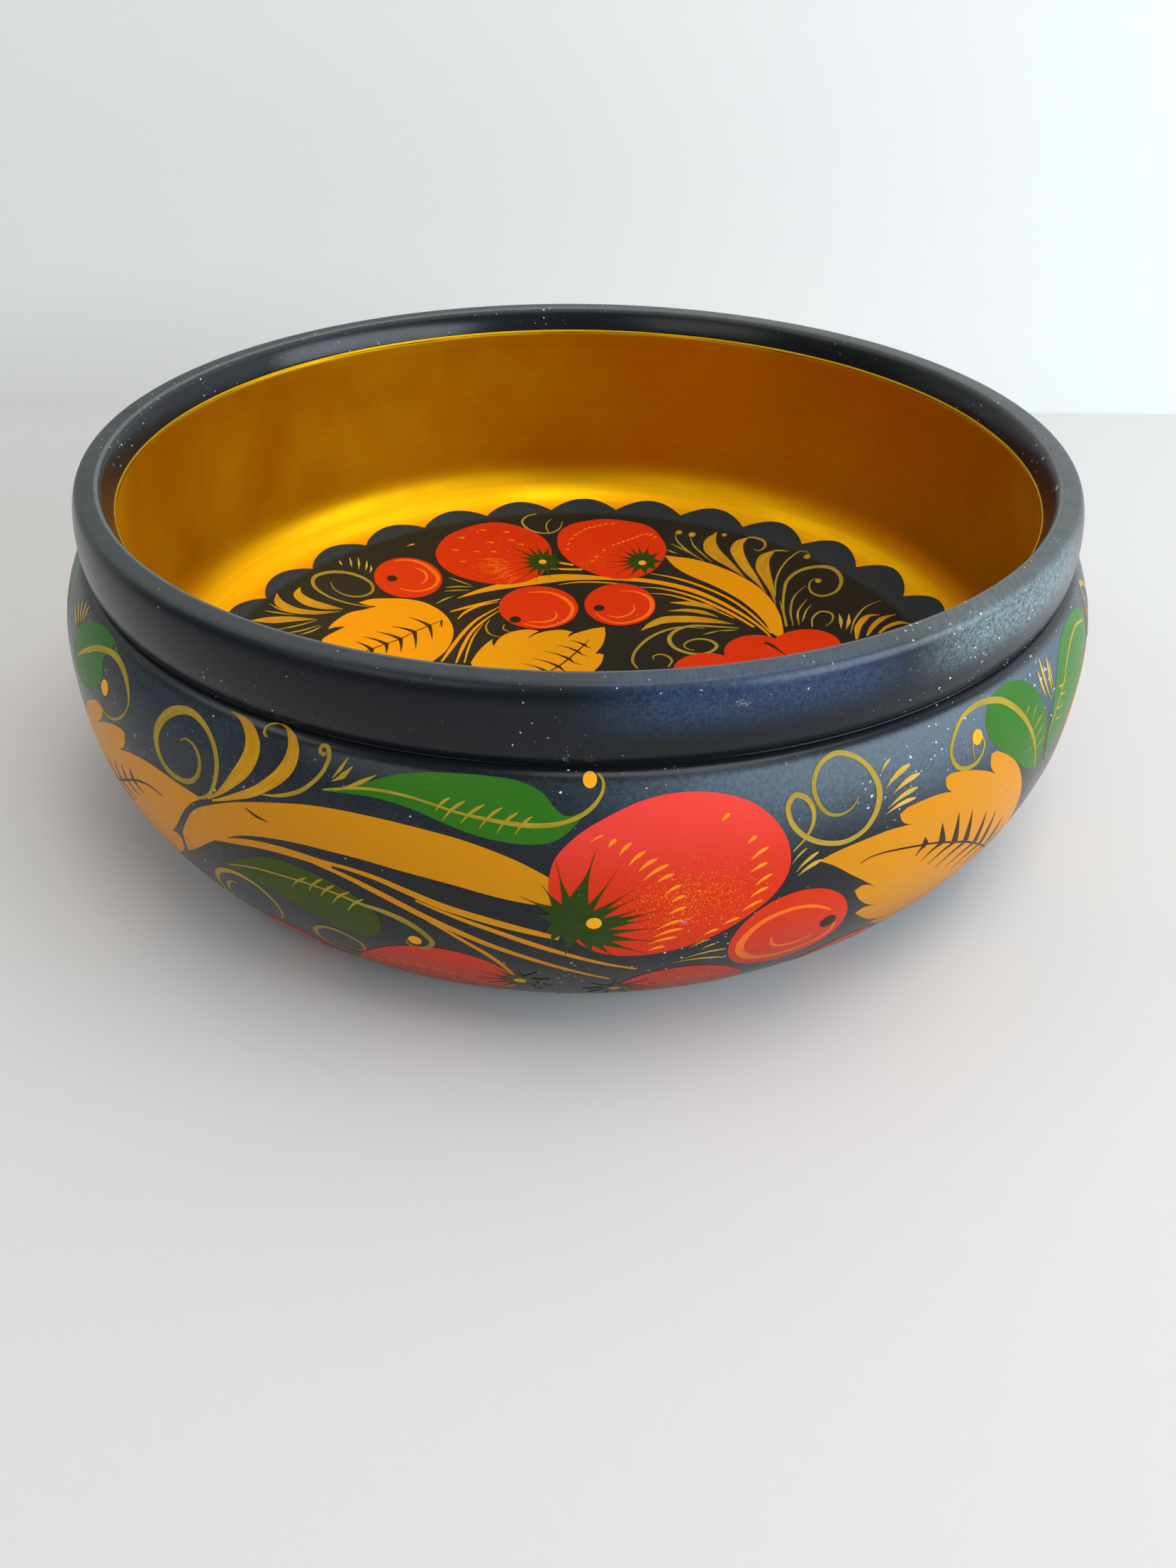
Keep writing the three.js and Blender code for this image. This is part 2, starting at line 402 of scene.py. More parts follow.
# %% Turning rings
rings, rings_in, rings_out = group(
    "turning_rings",
    [("Place", "Vector", None), ("Spacing", "Float", 700.0)],
    [("Radius", "Float"), ("Height", "Float"), ("Rings", "Float")],
)
axis = put(rings, "SeparateXYZ", {0: rings_in.outputs["Place"]})
flat_way = put(rings, "CombineXYZ", {"X": axis.outputs["X"], "Y": axis.outputs["Y"]}).outputs[0]
radius = put(rings, "VectorMath", {0: flat_way}, operation="LENGTH").outputs["Value"]
rings.links.new(radius, rings_out.inputs["Radius"])
rings.links.new(axis.outputs["Z"], rings_out.inputs["Height"])
slow = noise(rings, rings_in.outputs["Place"], 6.0, 2.0)
across = put(rings, "CombineXYZ", {"X": radius, "Y": axis.outputs["Z"], "Z": times(rings, slow, 0.004)})
ring_value = noise(rings, across.outputs[0], rings_in.outputs["Spacing"], 5.0, 0.7)
rings.links.new(ring_value, rings_out.inputs["Rings"])
print("turning rings:", len(rings.nodes), "nodes")

# %% Worn edges
wear, wear_in, wear_out = group(
    "edge_wear",
    [("Radius", "Float", 0.0), ("Height", "Float", 0.0), ("Edge radius", "Float", 0.1),
     ("Edge height", "Float", 0.1), ("Reach", "Float", 0.001), ("Noise", "Float", 0.5)],
    [("Wear", "Float")],
)
off_r = calc(wear, "SUBTRACT", wear_in.outputs["Radius"], wear_in.outputs["Edge radius"])
off_z = calc(wear, "SUBTRACT", wear_in.outputs["Height"], wear_in.outputs["Edge height"])
off = calc(wear, "SQRT", plus(wear, calc(wear, "POWER", calc(wear, "ABSOLUTE", off_r), 2.0),
                              calc(wear, "POWER", calc(wear, "ABSOLUTE", off_z), 2.0)))
near = calc(wear, "SUBTRACT", 1.0, calc(wear, "DIVIDE", off, wear_in.outputs["Reach"]))
near = plus(wear, near, calc(wear, "SUBTRACT", wear_in.outputs["Noise"], 0.75))
wear.links.new(fade(wear, near, 0.0, 0.25), wear_out.inputs["Wear"])
print("node groups:", [g.name for g in bpy.data.node_groups])

# %% [markdown]
# Black lacquer outside
#
# Several coats of black oil lacquer, baked and rubbed down: not piano gloss, but a soft shine. The flat on
# top of the rim is where hands and other bowls touch, so there it has gone grey and matt, with a few small
# chips; its grey is that wear and also a painted reflection, painted lighter on the side where light falls.
# Dust lies on the ledge under the crease, mixed with a painted bluish reflection of the window that is
# strongest on the side facing it, and the roll carries two streaky painted reflections, a blue one and a pale
# one. Heights, radii and bearings pick those places out, because they stay put on a turned thing.

# %% Black lacquer: dust, wear and painted reflections
black_lacquer, tree, shader, place = material("black_lacquer")
lathe = use(tree, rings, {"Place": place, "Spacing": 900.0})
radius, level = lathe.outputs["Radius"], lathe.outputs["Height"]


def towards(bearing_x, bearing_y, low, high):
    """A mask that is 1 on the side of the bowl that faces a bearing, and fades out round the girth."""
    bearing = (bearing_x, bearing_y, 0.0)
    share = put(tree, "VectorMath", {0: place, 1: bearing}, operation="DOT_PRODUCT").outputs["Value"]
    return fade(tree, calc(tree, "DIVIDE", share, radius), low, high)


# The ledge's film is dust and a painted bluish reflection of the window, strongest on the side facing the
# window.
ledge = times(tree, fade(tree, level, 0.056, 0.076), fade(tree, level, 0.0805, 0.0785))
window_facing_side = plus(tree, towards(0.62, -0.785, 0.74, 0.985), 0.34)
# Two streaky painted reflections on the top of the roll, a blue one and a pale one, each on its own side.
roll_top = times(tree, fade(tree, level, 0.0860, 0.0955), fade(tree, radius, 0.1310, 0.1345))
streak_way = put(tree, "Mapping", {"Vector": place, "Rotation": (0.0, 0.0, 0.66),
                                  "Scale": (1.0, 0.12, 1.0)}).outputs[0]
hair = noise(tree, streak_way, 1400.0, 4.0, 0.7)
streaky = fade(tree, hair, 0.36, 0.66, 0.35, 1.15)
painted_blue_reflection = times(tree, times(tree, towards(0.27, -0.963, 0.955, 0.998), roll_top), streaky)
painted_pale_reflection = times(tree, times(tree, towards(0.74, -0.67, 0.945, 0.995), roll_top), streaky)
dust_and_window_reflection = times(tree, ledge, window_facing_side)
film = plus(tree, dust_and_window_reflection, 0.035)
specks = plus(tree, times(tree, dust_and_window_reflection, 0.6), 0.9)
grime = use(tree, dust, {"Place": place, "Specks": specks, "Scratches": 0.9, "Film": film})
flat_top = times(tree, fade(tree, level, height * MM - 0.0022, height * MM - 0.0002),
                fade(tree, radius, flat_outer * MM + 0.0028, flat_outer * MM - 0.0010))
tone = mix(tree, noise(tree, place, 14.0, 4.0), (0.0035, 0.0042, 0.0058, 1), (0.0068, 0.0085, 0.0115, 1))
# Painted reflection: the film turns bluish grey, and the roll takes blue and pale streaks.
tone = mix(tree, grime.outputs["Film"], tone, (0.085, 0.122, 0.160, 1))
tone = mix(tree, times(tree, painted_blue_reflection, 0.62), tone, (0.042, 0.085, 0.190, 1))
tone = mix(tree, times(tree, painted_pale_reflection, 0.85), tone, (0.190, 0.270, 0.280, 1))
# The flat's grey is wear and a painted reflection, and it is painted lighter on the side the light falls on.
flat_wear_and_reflection = mix(tree, noise(tree, place, 160.0, 5.0, 0.7), (0.036, 0.043, 0.045, 1), (0.110, 0.122, 0.118, 1))
flat_lit_side = plus(tree, times(tree, towards(0.94, 0.34, -0.35, 0.8), 0.62), 0.36)
tone = mix(tree, times(tree, flat_top, flat_lit_side), tone, flat_wear_and_reflection)
print("black lacquer so far:", len(tree.nodes), "nodes")

# %% Black lacquer: where it is worn, scuffed and chipped
chip_noise = noise(tree, place, 420.0, 5.0, 0.72)
inner_edge = use(tree, wear, {"Radius": radius, "Height": level, "Edge radius": flat_inner * MM,
                              "Edge height": height * MM, "Reach": 0.0009, "Noise": chip_noise})
worn = inner_edge.outputs["Wear"]
flecks = noise(tree, place, 620.0, 6.0, 0.85)
flatter = 2.4  # a scuff is this many times as wide as high
low_place = put(tree, "VectorMath", {0: place, 1: (1.0, 1.0, flatter)}, operation="MULTIPLY").outputs[0]
scuff = None
for spot, reach, depth in (
    ((0.0325, -0.1350, 0.0945), 0.0065, 0.75), ((-0.0030, -0.1372, 0.0835), 0.0080, 0.5),
    ((0.0620, -0.1260, 0.0780), 0.0045, 0.5), ((-0.1180, -0.0800, 0.0770), 0.0060, 0.5),
    ((0.1050, -0.0920, 0.0915), 0.0035, 0.6), ((-0.0480, 0.1300, 0.0940), 0.0060, 0.6),
):
    low_spot = (spot[0], spot[1], spot[2] * flatter)
    away = put(tree, "VectorMath", {0: low_place, 1: low_spot}, operation="DISTANCE").outputs["Value"]
    one = plus(tree, fade(tree, away, reach, reach * 0.1, -0.3, 0.16), flecks)
    one = fade(tree, one, 0.62, 0.72, 0.0, depth)
    scuff = one if scuff is None else calc(tree, "MAXIMUM", scuff, one)
chip_away, chip_size = scattered_cells(tree, jittered(tree, place, 500.0, 0.004), 150.0, 2, 12.0)
chip = fade(tree, calc(tree, "SUBTRACT", times(tree, chip_size, 0.2), chip_away), 0.0, 0.05)
chip = times(tree, chip, fade(tree, level, 0.095, 0.0992))
tone = mix(tree, times(tree, worn, 0.45), tone, (0.17, 0.185, 0.185, 1))
tone = mix(tree, chip, tone, (0.42, 0.34, 0.29, 1))
tone = mix(tree, scuff, tone, (0.46, 0.43, 0.44, 1))
tone = mix(tree, times(tree, grime.outputs["Scratches"], 0.4), tone, (0.30, 0.32, 0.33, 1))
tone = mix(tree, grime.outputs["Specks"], tone, (0.62, 0.63, 0.62, 1))
tree.links.new(tone, shader.inputs["Base Color"])
print("black lacquer so far:", len(tree.nodes), "nodes")

# %% Black lacquer: gloss and relief
gloss = plus(tree, fade(tree, noise(tree, place, 30.0, 5.0, 0.6), 0.3, 0.7, 0.20, 0.27),
             times(tree, grime.outputs["Film"], 0.3))
gloss = plus(tree, gloss, times(tree, flat_top, 0.25))
gloss = calc(tree, "MAXIMUM", gloss, times(tree, grime.outputs["Specks"], 0.8))
tree.links.new(gloss, shader.inputs["Roughness"])
relief = plus(tree, times(tree, lathe.outputs["Rings"], 0.35),
              times(tree, noise(tree, place, 260.0, 4.0, 0.6), 0.30))
relief = calc(tree, "SUBTRACT", relief, times(tree, grime.outputs["Scratches"], 0.5))
relief = calc(tree, "SUBTRACT", relief, times(tree, chip, 1.5))
emboss(tree, shader, relief, 0.22, 0.0001)
shader.inputs["Specular IOR Level"].default_value = 0.26
print("black lacquer:", len(tree.nodes), "nodes")

# %% [markdown]
# Gold lining
#
# The gold is tin or aluminium powder rubbed into tacky oil, under an oil lacquer that heat turns amber. So it
# is a metal seen through a tint: a metallic shader with a deep yellow colour, roughened by the powder, with
# faint rings from the lathe. It is painted brighter on the floor and at the foot of the wall, a painted
# highlight where the corner catches the light. A real coat over metal could be a second layer in the shader,
# but one warm metal reads the same and bakes well.

# %% Gold lacquer
gold_lacquer, tree, shader, place = material("gold_lacquer")
lathe = use(tree, rings, {"Place": place, "Spacing": 520.0})
level = lathe.outputs["Height"]
clouds = noise(tree, place, 9.0, 4.0, 0.55)
gold = mix(tree, fade(tree, clouds, 0.35, 0.7), (0.56, 0.305, 0.002, 1), (0.66, 0.37, 0.003, 1))
# Painted highlight: the gold is paler and brighter low down, where the corner and floor catch the light.
gold = mix(tree, fade(tree, level, 0.044, 0.022), gold, (0.98, 0.50, 0.004, 1))
gold = mix(tree, fade(tree, lathe.outputs["Rings"], 0.35, 0.75, 0.0, 0.22), gold, (0.47, 0.23, 0.002, 1))
powder = noise(tree, place, 1500.0, 2.0, 0.8)
gold = mix(tree, fade(tree, powder, 0.45, 0.75, 0.0, 0.18), gold, (0.90, 0.57, 0.010, 1))
marks = use(tree, dust, {"Place": place, "Specks": 0.25, "Scratches": 0.3, "Film": 0.1})
gold = mix(tree, times(tree, marks.outputs["Specks"], 0.7), gold, (0.42, 0.22, 0.04, 1))
tree.links.new(gold, shader.inputs["Base Color"])
shader.inputs["Metallic"].default_value = 1.0
gloss = fade(tree, noise(tree, place, 22.0, 5.0, 0.6), 0.3, 0.72, 0.45, 0.58)
tree.links.new(gloss, shader.inputs["Roughness"])
relief = plus(tree, times(tree, lathe.outputs["Rings"], 0.8), times(tree, powder, 0.25))
emboss(tree, shader, relief, 0.25, 0.00012)
print("gold lacquer:", len(tree.nodes), "nodes")

# %% [markdown]
# The roundel's black and the bare wood
#
# The roundel is black paint on the gold, flatter than the outside and browner in the middle, with a painted
# bluish reflection where its scallops climb the wall. The foot's underside shows the wood itself, lime: pale,
# close grained, with faint growth lines that run straight through the block.

# %% Roundel paint
black_roundel, tree, shader, place = material("black_roundel")
marks = use(tree, dust, {"Place": place, "Specks": 0.45, "Scratches": 0.3, "Film": 0.12})
tone = mix(tree, noise(tree, place, 18.0, 4.0), (0.0075, 0.0070, 0.0055, 1), (0.0150, 0.0140, 0.0110, 1))
lathe = use(tree, rings, {"Place": place})
# Painted reflection: bluish where the scallops climb the wall.
tone = mix(tree, fade(tree, lathe.outputs["Radius"], 0.1172, 0.1200), tone, (0.020, 0.032, 0.041, 1))
tone = mix(tree, marks.outputs["Film"], tone, (0.075, 0.090, 0.095, 1))
tone = mix(tree, marks.outputs["Specks"], tone, (0.5, 0.48, 0.42, 1))
tree.links.new(tone, shader.inputs["Base Color"])
tree.links.new(fade(tree, noise(tree, place, 40.0, 5.0), 0.3, 0.7, 0.30, 0.40), shader.inputs["Roughness"])
brushed = noise(tree, place, 380.0, 4.0, 0.65)
shader.inputs["Specular IOR Level"].default_value = 0.11
emboss(tree, shader, brushed, 0.2, 0.0001)
print("roundel paint:", len(tree.nodes), "nodes")

# %% Bare wood
lime_wood, tree, shader, place = material("lime_wood")
grain_place = put(tree, "Mapping", {"Vector": place, "Scale": (0.06, 1.0, 1.0)}).outputs[0]
fibre = noise(tree, grain_place, 900.0, 6.0, 0.7)
growth = put(tree, "TexWave", {"Vector": place, "Scale": 38.0, "Distortion": 3.0, "Detail": 3.0},
             wave_type="RINGS", rings_direction="X").outputs["Fac"]
tone = mix(tree, fade(tree, growth, 0.2, 0.9), (0.56, 0.37, 0.19, 1), (0.43, 0.26, 0.12, 1))
tone = mix(tree, fade(tree, fibre, 0.4, 0.7, 0.0, 0.5), tone, (0.30, 0.17, 0.075, 1))
grime = use(tree, dust, {"Place": place, "Specks": 0.2, "Scratches": 0.6, "Film": 0.6})
tone = mix(tree, grime.outputs["Film"], tone, (0.16, 0.11, 0.07, 1))
tree.links.new(tone, shader.inputs["Base Color"])
tree.links.new(fade(tree, fibre, 0.3, 0.7, 0.55, 0.75), shader.inputs["Roughness"])
emboss(tree, shader, fibre, 0.35, 0.0002)
print("materials:", [m.name for m in (black_lacquer, gold_lacquer, black_roundel, lime_wood)])

# %% [markdown]
# The turned body and its coats
#
# The wood is one closed body. Each coat is a closed shell, a little over half a millimetre thick, that lies
# on the finished line of the section. The black comes over the lip to the gold with an edge that a brush has
# drawn on the turning lathe, so its height wanders by a few tenths of a millimetre.

# %% Wood
under_black, under_gold = coat_thickness + filler, coat_thickness + filler
wood_out = sunk(np.vstack([belly_section(0.0, 0.4), rim_section(0.5)]), under_black)
wood_out[0, 1] = 0.0
wood_in = sunk(inside_section(lip_height, 0.4), under_gold)
wood = np.vstack([[0, recess_depth + under_black], [recess_radius, recess_depth + under_black],
                  [recess_radius, 0.0], wood_out, wood_in[1:]])
points, faces = spun(wood, FEW_SECTORS)
body = mesh_piece("lime_body", points, faces, lime_wood, "turned_bowl")
bevel = body.modifiers.new("soft_arris", "BEVEL")
bevel.width, bevel.segments = 0.5 * MM, 2
bevel.limit_method, bevel.angle_limit = "ANGLE", math.radians(40)

# %% Lacquer outside
outside = np.vstack([belly_section(bare_foot), rim_section()])
back = sunk(np.vstack([belly_section(bare_foot, 0.35), rim_section(0.4)]), coat_thickness)[::-1]
back[-1, 1] = bare_foot
rows = wavy(outside, SECTORS, 0.05, 3)
angle = np.linspace(0, 2 * math.pi, SECTORS, endpoint=False)
wander = 0.16 * np.sin(5 * angle + 1) + 0.12 * np.sin(11 * angle) + 0.07 * np.sin(29 * angle + 2)
rows[-4:, :, 1] += wander * np.linspace(0.25, 1, 4)[:, None]
rows[0, :, 1] += 0.25 * np.abs(wander)
shell = np.vstack([rows, np.repeat(back[:, None, :], SECTORS, axis=1)])
points, faces = spun(shell, SECTORS, ring=True)
mesh_piece("black_outside", points, faces, black_lacquer, "outer_lacquer")

# %% Gold inside and black under the foot
gold_top = lip_height + 0.7  # the gold runs a little way up under the black
lining = inside_section(gold_top)
lining[:2] = sunk(lining, 0.06)[:2]
gold_back = sunk(inside_section(gold_top, 0.3), coat_thickness)[::-1]
points, faces = spun(np.vstack([gold_back, lining]), SECTORS)
mesh_piece("gold_inside", points, faces, gold_lacquer, "gold_lining")

base_edge = recess_radius - filler
flat_radii = np.linspace(4, base_edge - 4, 24)
underside = np.c_[flat_radii, np.full(24, recess_depth)]
base = np.vstack([[0, recess_depth], underside, [base_edge - 0.3, recess_depth],
                  [base_edge, recess_depth + 0.2], [base_edge, recess_depth + coat_thickness],
                  [0, recess_depth + coat_thickness]])
points, faces = spun(base, FEW_SECTORS)
mesh_piece("black_base", points, faces, black_lacquer, "base_lacquer")

# %% [markdown]
# The scalloped roundel
#
# The painter fills the floor with black and edges it with a row of round dabs, 29 of them, so the outline is
# a ring of arcs that meet in notches. In polar form an arc's distance from the middle is m cos(d) plus the
# square root of q squared minus (m sin(d)) squared, where d is the angle from the arc's own middle, m is how
# far out its centre lies and q is its radius. The grid runs out from the middle to that outline, and its
# heights come from the inside section, so the scallops climb the foot of the wall. By eye it was painted a
# little off centre.

# %% Roundel
SCALLOPS, ARC_STEPS = 29, 16
scallop_top, scallop_depth = inside_radius - 6.6, 5.5
scallop_turn = math.radians(152.7)
roundel_middle = np.array([2.8, -0.65])
roundel_lift, roundel_depth = 0.25, 0.2  # above the gold and into it

inside_line = inside_section(lip_height, 4.0)[::-1]
floor_line = inside_line[: np.argmax(inside_line[:, 0] > inside_radius - 0.5)]


def floor_point(xy, lift):
    """The place on the bowl's floor over (x, y), raised along the surface's own upright by lift."""
    r = np.hypot(xy[..., 0], xy[..., 1])
    z = np.interp(r, floor_line[:, 0], floor_line[:, 1])
    slope = np.interp(r, floor_line[:, 0], np.gradient(floor_line[:, 1], floor_line[:, 0]))
    away = xy / np.maximum(r, 1e-6)[..., None]
    length = np.sqrt(1 + slope ** 2)
    across = xy - away * (lift * slope / length)[..., None]
    return np.concatenate([across, (z + lift / length)[..., None]], -1)


half = math.pi / SCALLOPS
notch = scallop_top - scallop_depth
half_chord = notch * math.sin(half)
arc_rise = scallop_top - notch * math.cos(half)
arc_radius = (half_chord ** 2 + arc_rise ** 2) / (2 * arc_rise)
arc_middle = scallop_top - arc_radius
count = SCALLOPS * ARC_STEPS
angle = np.arange(count) / count * 2 * math.pi
from_middle = (angle + half) % (2 * half) - half
aside = arc_middle * np.sin(from_middle)
outline = arc_middle * np.cos(from_middle) + np.sqrt(arc_radius ** 2 - aside ** 2)
share = np.r_[np.linspace(0.03, 0.9, 30), np.linspace(0.91, 1.0, 14)]
way = np.stack([np.cos(angle + scallop_turn), np.sin(angle + scallop_turn)], -1)
plan = roundel_middle + share[:, None, None] * outline[None, :, None] * way[None]
rows = np.vstack([floor_point(plan, -roundel_depth), floor_point(plan, roundel_lift)[::-1]])
poles = [floor_point(roundel_middle, -roundel_depth), floor_point(roundel_middle, roundel_lift)]
points, faces = closed(rows, poles)
mesh_piece("scalloped_roundel", points, faces, black_roundel, "floor_medallion")

# %% [markdown]
# How a brush stroke becomes a piece
#
# The ornament is read off in two flat charts of the real surface. On the belly, a is the distance round the
# girth in millimetres, 0 at the front and growing to the viewer's right, and s is the distance up the skin
# from the foot's edge. On the roundel the chart is the plan, x and y. A stroke is a small grid in its chart,
# lifted a tenth or two of a millimetre off the lacquer, with its edge walled down to a hidden back, so it is
# a closed film of paint that light catches like real paint. Painting the colours as a picture would be
# quicker, but a film keeps a sharp edge at any distance. Strokes of one colour on one surface are one piece.

# %% Charts of the two painted surfaces
belly_line = belly_section(0.0, 8.0)
belly_arc = np.r_[0, np.cumsum(np.hypot(*np.diff(belly_line, axis=0).T))]
belly_way = np.gradient(belly_line, belly_arc, axis=0)
girth = 2 * math.pi * belly_radius


def belly_point(chart, lift):
    """The place on the outside at (a, s), raised off it by lift: radius and height come from the belly's
    section at the distance s up the skin, and the angle is a as a share of the girth."""
    turn = chart[..., 0] / belly_radius - math.pi / 2
    s = chart[..., 1]
    r, z = np.interp(s, belly_arc, belly_line[:, 0]), np.interp(s, belly_arc, belly_line[:, 1])
    dr, dz = np.interp(s, belly_arc, belly_way[:, 0]), np.interp(s, belly_arc, belly_way[:, 1])
    r, z = r + dz * lift, z - dr * lift
    return np.stack([r * np.cos(turn), r * np.sin(turn), z], -1)


def roundel_point(chart, lift):
    """The place on the roundel over (x, y), raised off its paint by lift."""
    return floor_point(chart, roundel_lift + lift)


print("belly chart: girth", round(girth, 1), "mm, skin height", round(belly_arc[-1], 1), "mm")

# %% Curves through chosen points


def smooth(points, step=0.9, closed_curve=False):
    """A curve through the points, with cubic pieces whose slope at a point is the mean of the chords on both
    sides, each weighted by the other's length, so that uneven points give no loops."""
    p = np.asarray(points, float)
    if closed_curve:
        p = np.vstack([p[-1], p, p[0], p[1]])
    else:
        p = np.vstack([2 * p[0] - p[1], p, 2 * p[-1] - p[-2]])
    chord = np.maximum(np.linalg.norm(np.diff(p, axis=0), axis=1), 1e-6)[:, None]
    rate = np.diff(p, axis=0) / chord
    slope = (rate[:-1] * chord[1:] + rate[1:] * chord[:-1]) / (chord[:-1] + chord[1:])
    p, chord = p[1:-1], chord[1:-1, 0]
    reach = np.r_[0, np.cumsum(chord)]
    steps = max(int(math.ceil(reach[-1] / step)), 4)
    d = np.linspace(0, reach[-1], steps + 1)
    i = np.clip(np.searchsorted(reach, d, side="right") - 1, 0, len(chord) - 1)
    t, h = ((d - reach[i]) / chord[i])[:, None], chord[i][:, None]
    curve = ((2 * t ** 3 - 3 * t ** 2 + 1) * p[i] + (t ** 3 - 2 * t ** 2 + t) * h * slope[i]
             + (3 * t ** 2 - 2 * t ** 3) * p[i + 1] + (t ** 3 - t ** 2) * h * slope[i + 1])
    return curve[:-1] if closed_curve else curve


def resampled(curve, count):
    """The same curve with a given number of points, evenly spaced along it."""
    reach = np.r_[0, np.cumsum(np.linalg.norm(np.diff(curve, axis=0), axis=1))]
    d = np.linspace(0, reach[-1], count)
    return np.c_[np.interp(d, reach, curve[:, 0]), np.interp(d, reach, curve[:, 1])]


print("a small bend has", len(smooth([(0, 0), (5, 2), (9, 0)])), "points")

# %% Keeping the strokes by colour
paper = {}
rng = np.random.default_rng(11)
first_lift, layer_lift, film_back = 0.05, 0.03, 0.06


def tally(part):
    """Says how many strokes are kept once a part of the ornament is drawn."""
    print(part, "drawn, strokes so far:", sum(len(strokes) for strokes in paper.values()))


def lay(colour, plan, faces, rim, layer, uv, along):
    """Keeps one stroke for its colour: places in the chart, faces that turn anticlockwise, the rim's points
    in order, its layer in the painting, and where each point lies in the stroke."""
    tone = np.full(len(plan), rng.uniform())
    lift = first_lift + layer_lift * layer
    paper.setdefault(colour, []).append((plan, faces, rim, lift, uv, np.c_[along, tone]))


def lay_grid(colour, plan, layer):
    """Keeps a stroke whose plan is a grid of points: its rows follow each other along the stroke."""
    n, m = plan.shape[:2]
    middle = plan[:, m // 2]
    run = np.r_[0, np.cumsum(np.linalg.norm(np.diff(middle, axis=0), axis=1))]
    wide = np.concatenate([np.zeros((n, 1)), np.cumsum(np.linalg.norm(np.diff(plan, axis=1), axis=2), 1)], 1)
    index = np.arange(n * m).reshape(n, m)
    quads = np.stack([index[:-1, :-1], index[1:, :-1], index[1:, 1:], index[:-1, 1:]], -1).reshape(-1, 4)
    rim = np.r_[index[:-1, 0], index[-1, :-1], index[:0:-1, -1], index[0, :0:-1]]
    edge = plan.reshape(-1, 2)[rim]
    turned = np.sum(edge[:, 0] * np.roll(edge[:, 1], -1) - np.roll(edge[:, 0], -1) * edge[:, 1])
    if turned < 0:
        quads, rim = quads[:, ::-1], rim[::-1]
    start = rng.uniform(0, 500)
    uv = np.stack([np.repeat(run[:, None], m, 1) + start, wide - wide[:, -1:] / 2], -1).reshape(-1, 2)
    along = np.stack([np.repeat(run[:, None] / run[-1], m, 1), wide / np.maximum(wide[:, -1:], 1e-6)], -1)
    lay(colour, plan.reshape(-1, 2), [quads], rim, layer, uv, along.reshape(-1, 2))


print("a stroke's lift is", first_lift, "mm, and each layer adds", layer_lift, "mm")

# %% Lines and dabs


def stroke(colour, points, widths, layer=1, across=2):
    """A line drawn with a brush: a smooth curve through the points, with its widths spread along it."""
    curve = smooth(points, 0.8)
    way = np.gradient(curve, axis=0)
    way /= np.maximum(np.linalg.norm(way, axis=1), 1e-9)[:, None]
    left = np.c_[-way[:, 1], way[:, 0]]
    t = np.linspace(0, 1, len(curve))
    half_width = np.maximum(np.interp(t, np.linspace(0, 1, len(widths)), widths), 0.12) / 2
    side = np.linspace(-1, 1, across + 1)
    lay_grid(colour, curve[:, None] + (half_width[:, None] * left)[:, None] * side[None, :, None], layer)


def dash(colour, head, tail, width, layer=2):
    """A dab that starts full at its head and runs out to a hair at its tail, a little bent."""
    head, tail = np.array(head, float), np.array(tail, float)
    bow = np.array([tail[1] - head[1], head[0] - tail[0]]) * 0.06
    stroke(colour, [head, (head * 2 + tail) / 3 + bow, (head + tail * 2) / 3 + bow, tail],
           [width * 0.35, width, width * 0.85, width * 0.5, 0.14], layer)


print("brush work: stroke and dash")

# %% Leaves and round patches


def leaf(colour, one_edge, other_edge, layer=0, across=8):
    """A leaf between two edges that run from the same end to the same end: straight rulings join points that
    are the same share of the way along each edge."""
    step, ruling_gap, blunt_tip = 0.9, 1.6, 0.15
    one, other = smooth(one_edge, step), smooth(other_edge, step)
    count = max(int(max(len(one), len(other)) * step / ruling_gap), 8)
    one, other = resampled(one, count), resampled(other, count)
    gap = other - one
    ends = np.linalg.norm(gap, axis=1) < blunt_tip
    other = other + np.where(ends[:, None], [0.0, blunt_tip], 0.0)
    side = np.linspace(0, 1, across + 1)
    lay_grid(colour, one[:, None] + (other - one)[:, None] * side[None, :, None], layer)


def blob(colour, points, layer=0, cells=14):
    """A round patch inside a closed outline: a square grid is bent onto a disc, and the disc is stretched so
    that its edge meets the outline."""
    outline = smooth(points, 0.8, closed_curve=True)
    middle = outline.mean(0)
    bearing = np.unwrap(np.arctan2(*(outline - middle).T[::-1]))
    if bearing[-1] < bearing[0]:
        outline, bearing = outline[::-1], bearing[::-1]
    distance = np.linalg.norm(outline - middle, axis=1)
    u = np.linspace(-1, 1, cells + 1)
    u, v = np.meshgrid(u, u, indexing="ij")
    reach = np.maximum(np.abs(u), np.abs(v))
    small, large = np.minimum(np.abs(u), np.abs(v)), np.maximum(reach, 1e-9)
    turn = math.pi / 4 * small / large
    turn = np.where(np.abs(u) >= np.abs(v), turn, math.pi / 2 - turn)
    turn = np.arctan2(np.sin(turn) * np.sign(v + (v == 0)), np.cos(turn) * np.sign(u + (u == 0)))
    edge = np.interp(turn.ravel(), bearing, distance, period=2 * math.pi).reshape(turn.shape)
    lay_grid(colour, middle + (reach * edge)[..., None] * np.stack([np.cos(turn), np.sin(turn)], -1), layer)


def disc(colour, middle, radius, layer=3, flat=1.0):
    """A round dot, or an ellipse that is flat times as high as wide."""
    turn = np.linspace(0, 2 * math.pi, 13)[:-1]
    cells = 2 if radius < 0.5 else 8 if radius < 4 else 14
    blob(colour, np.array(middle) + radius * np.c_[np.cos(turn), flat * np.sin(turn)], layer, cells)


print("filled shapes: leaf, blob and disc")

# %% Leaves with lobes


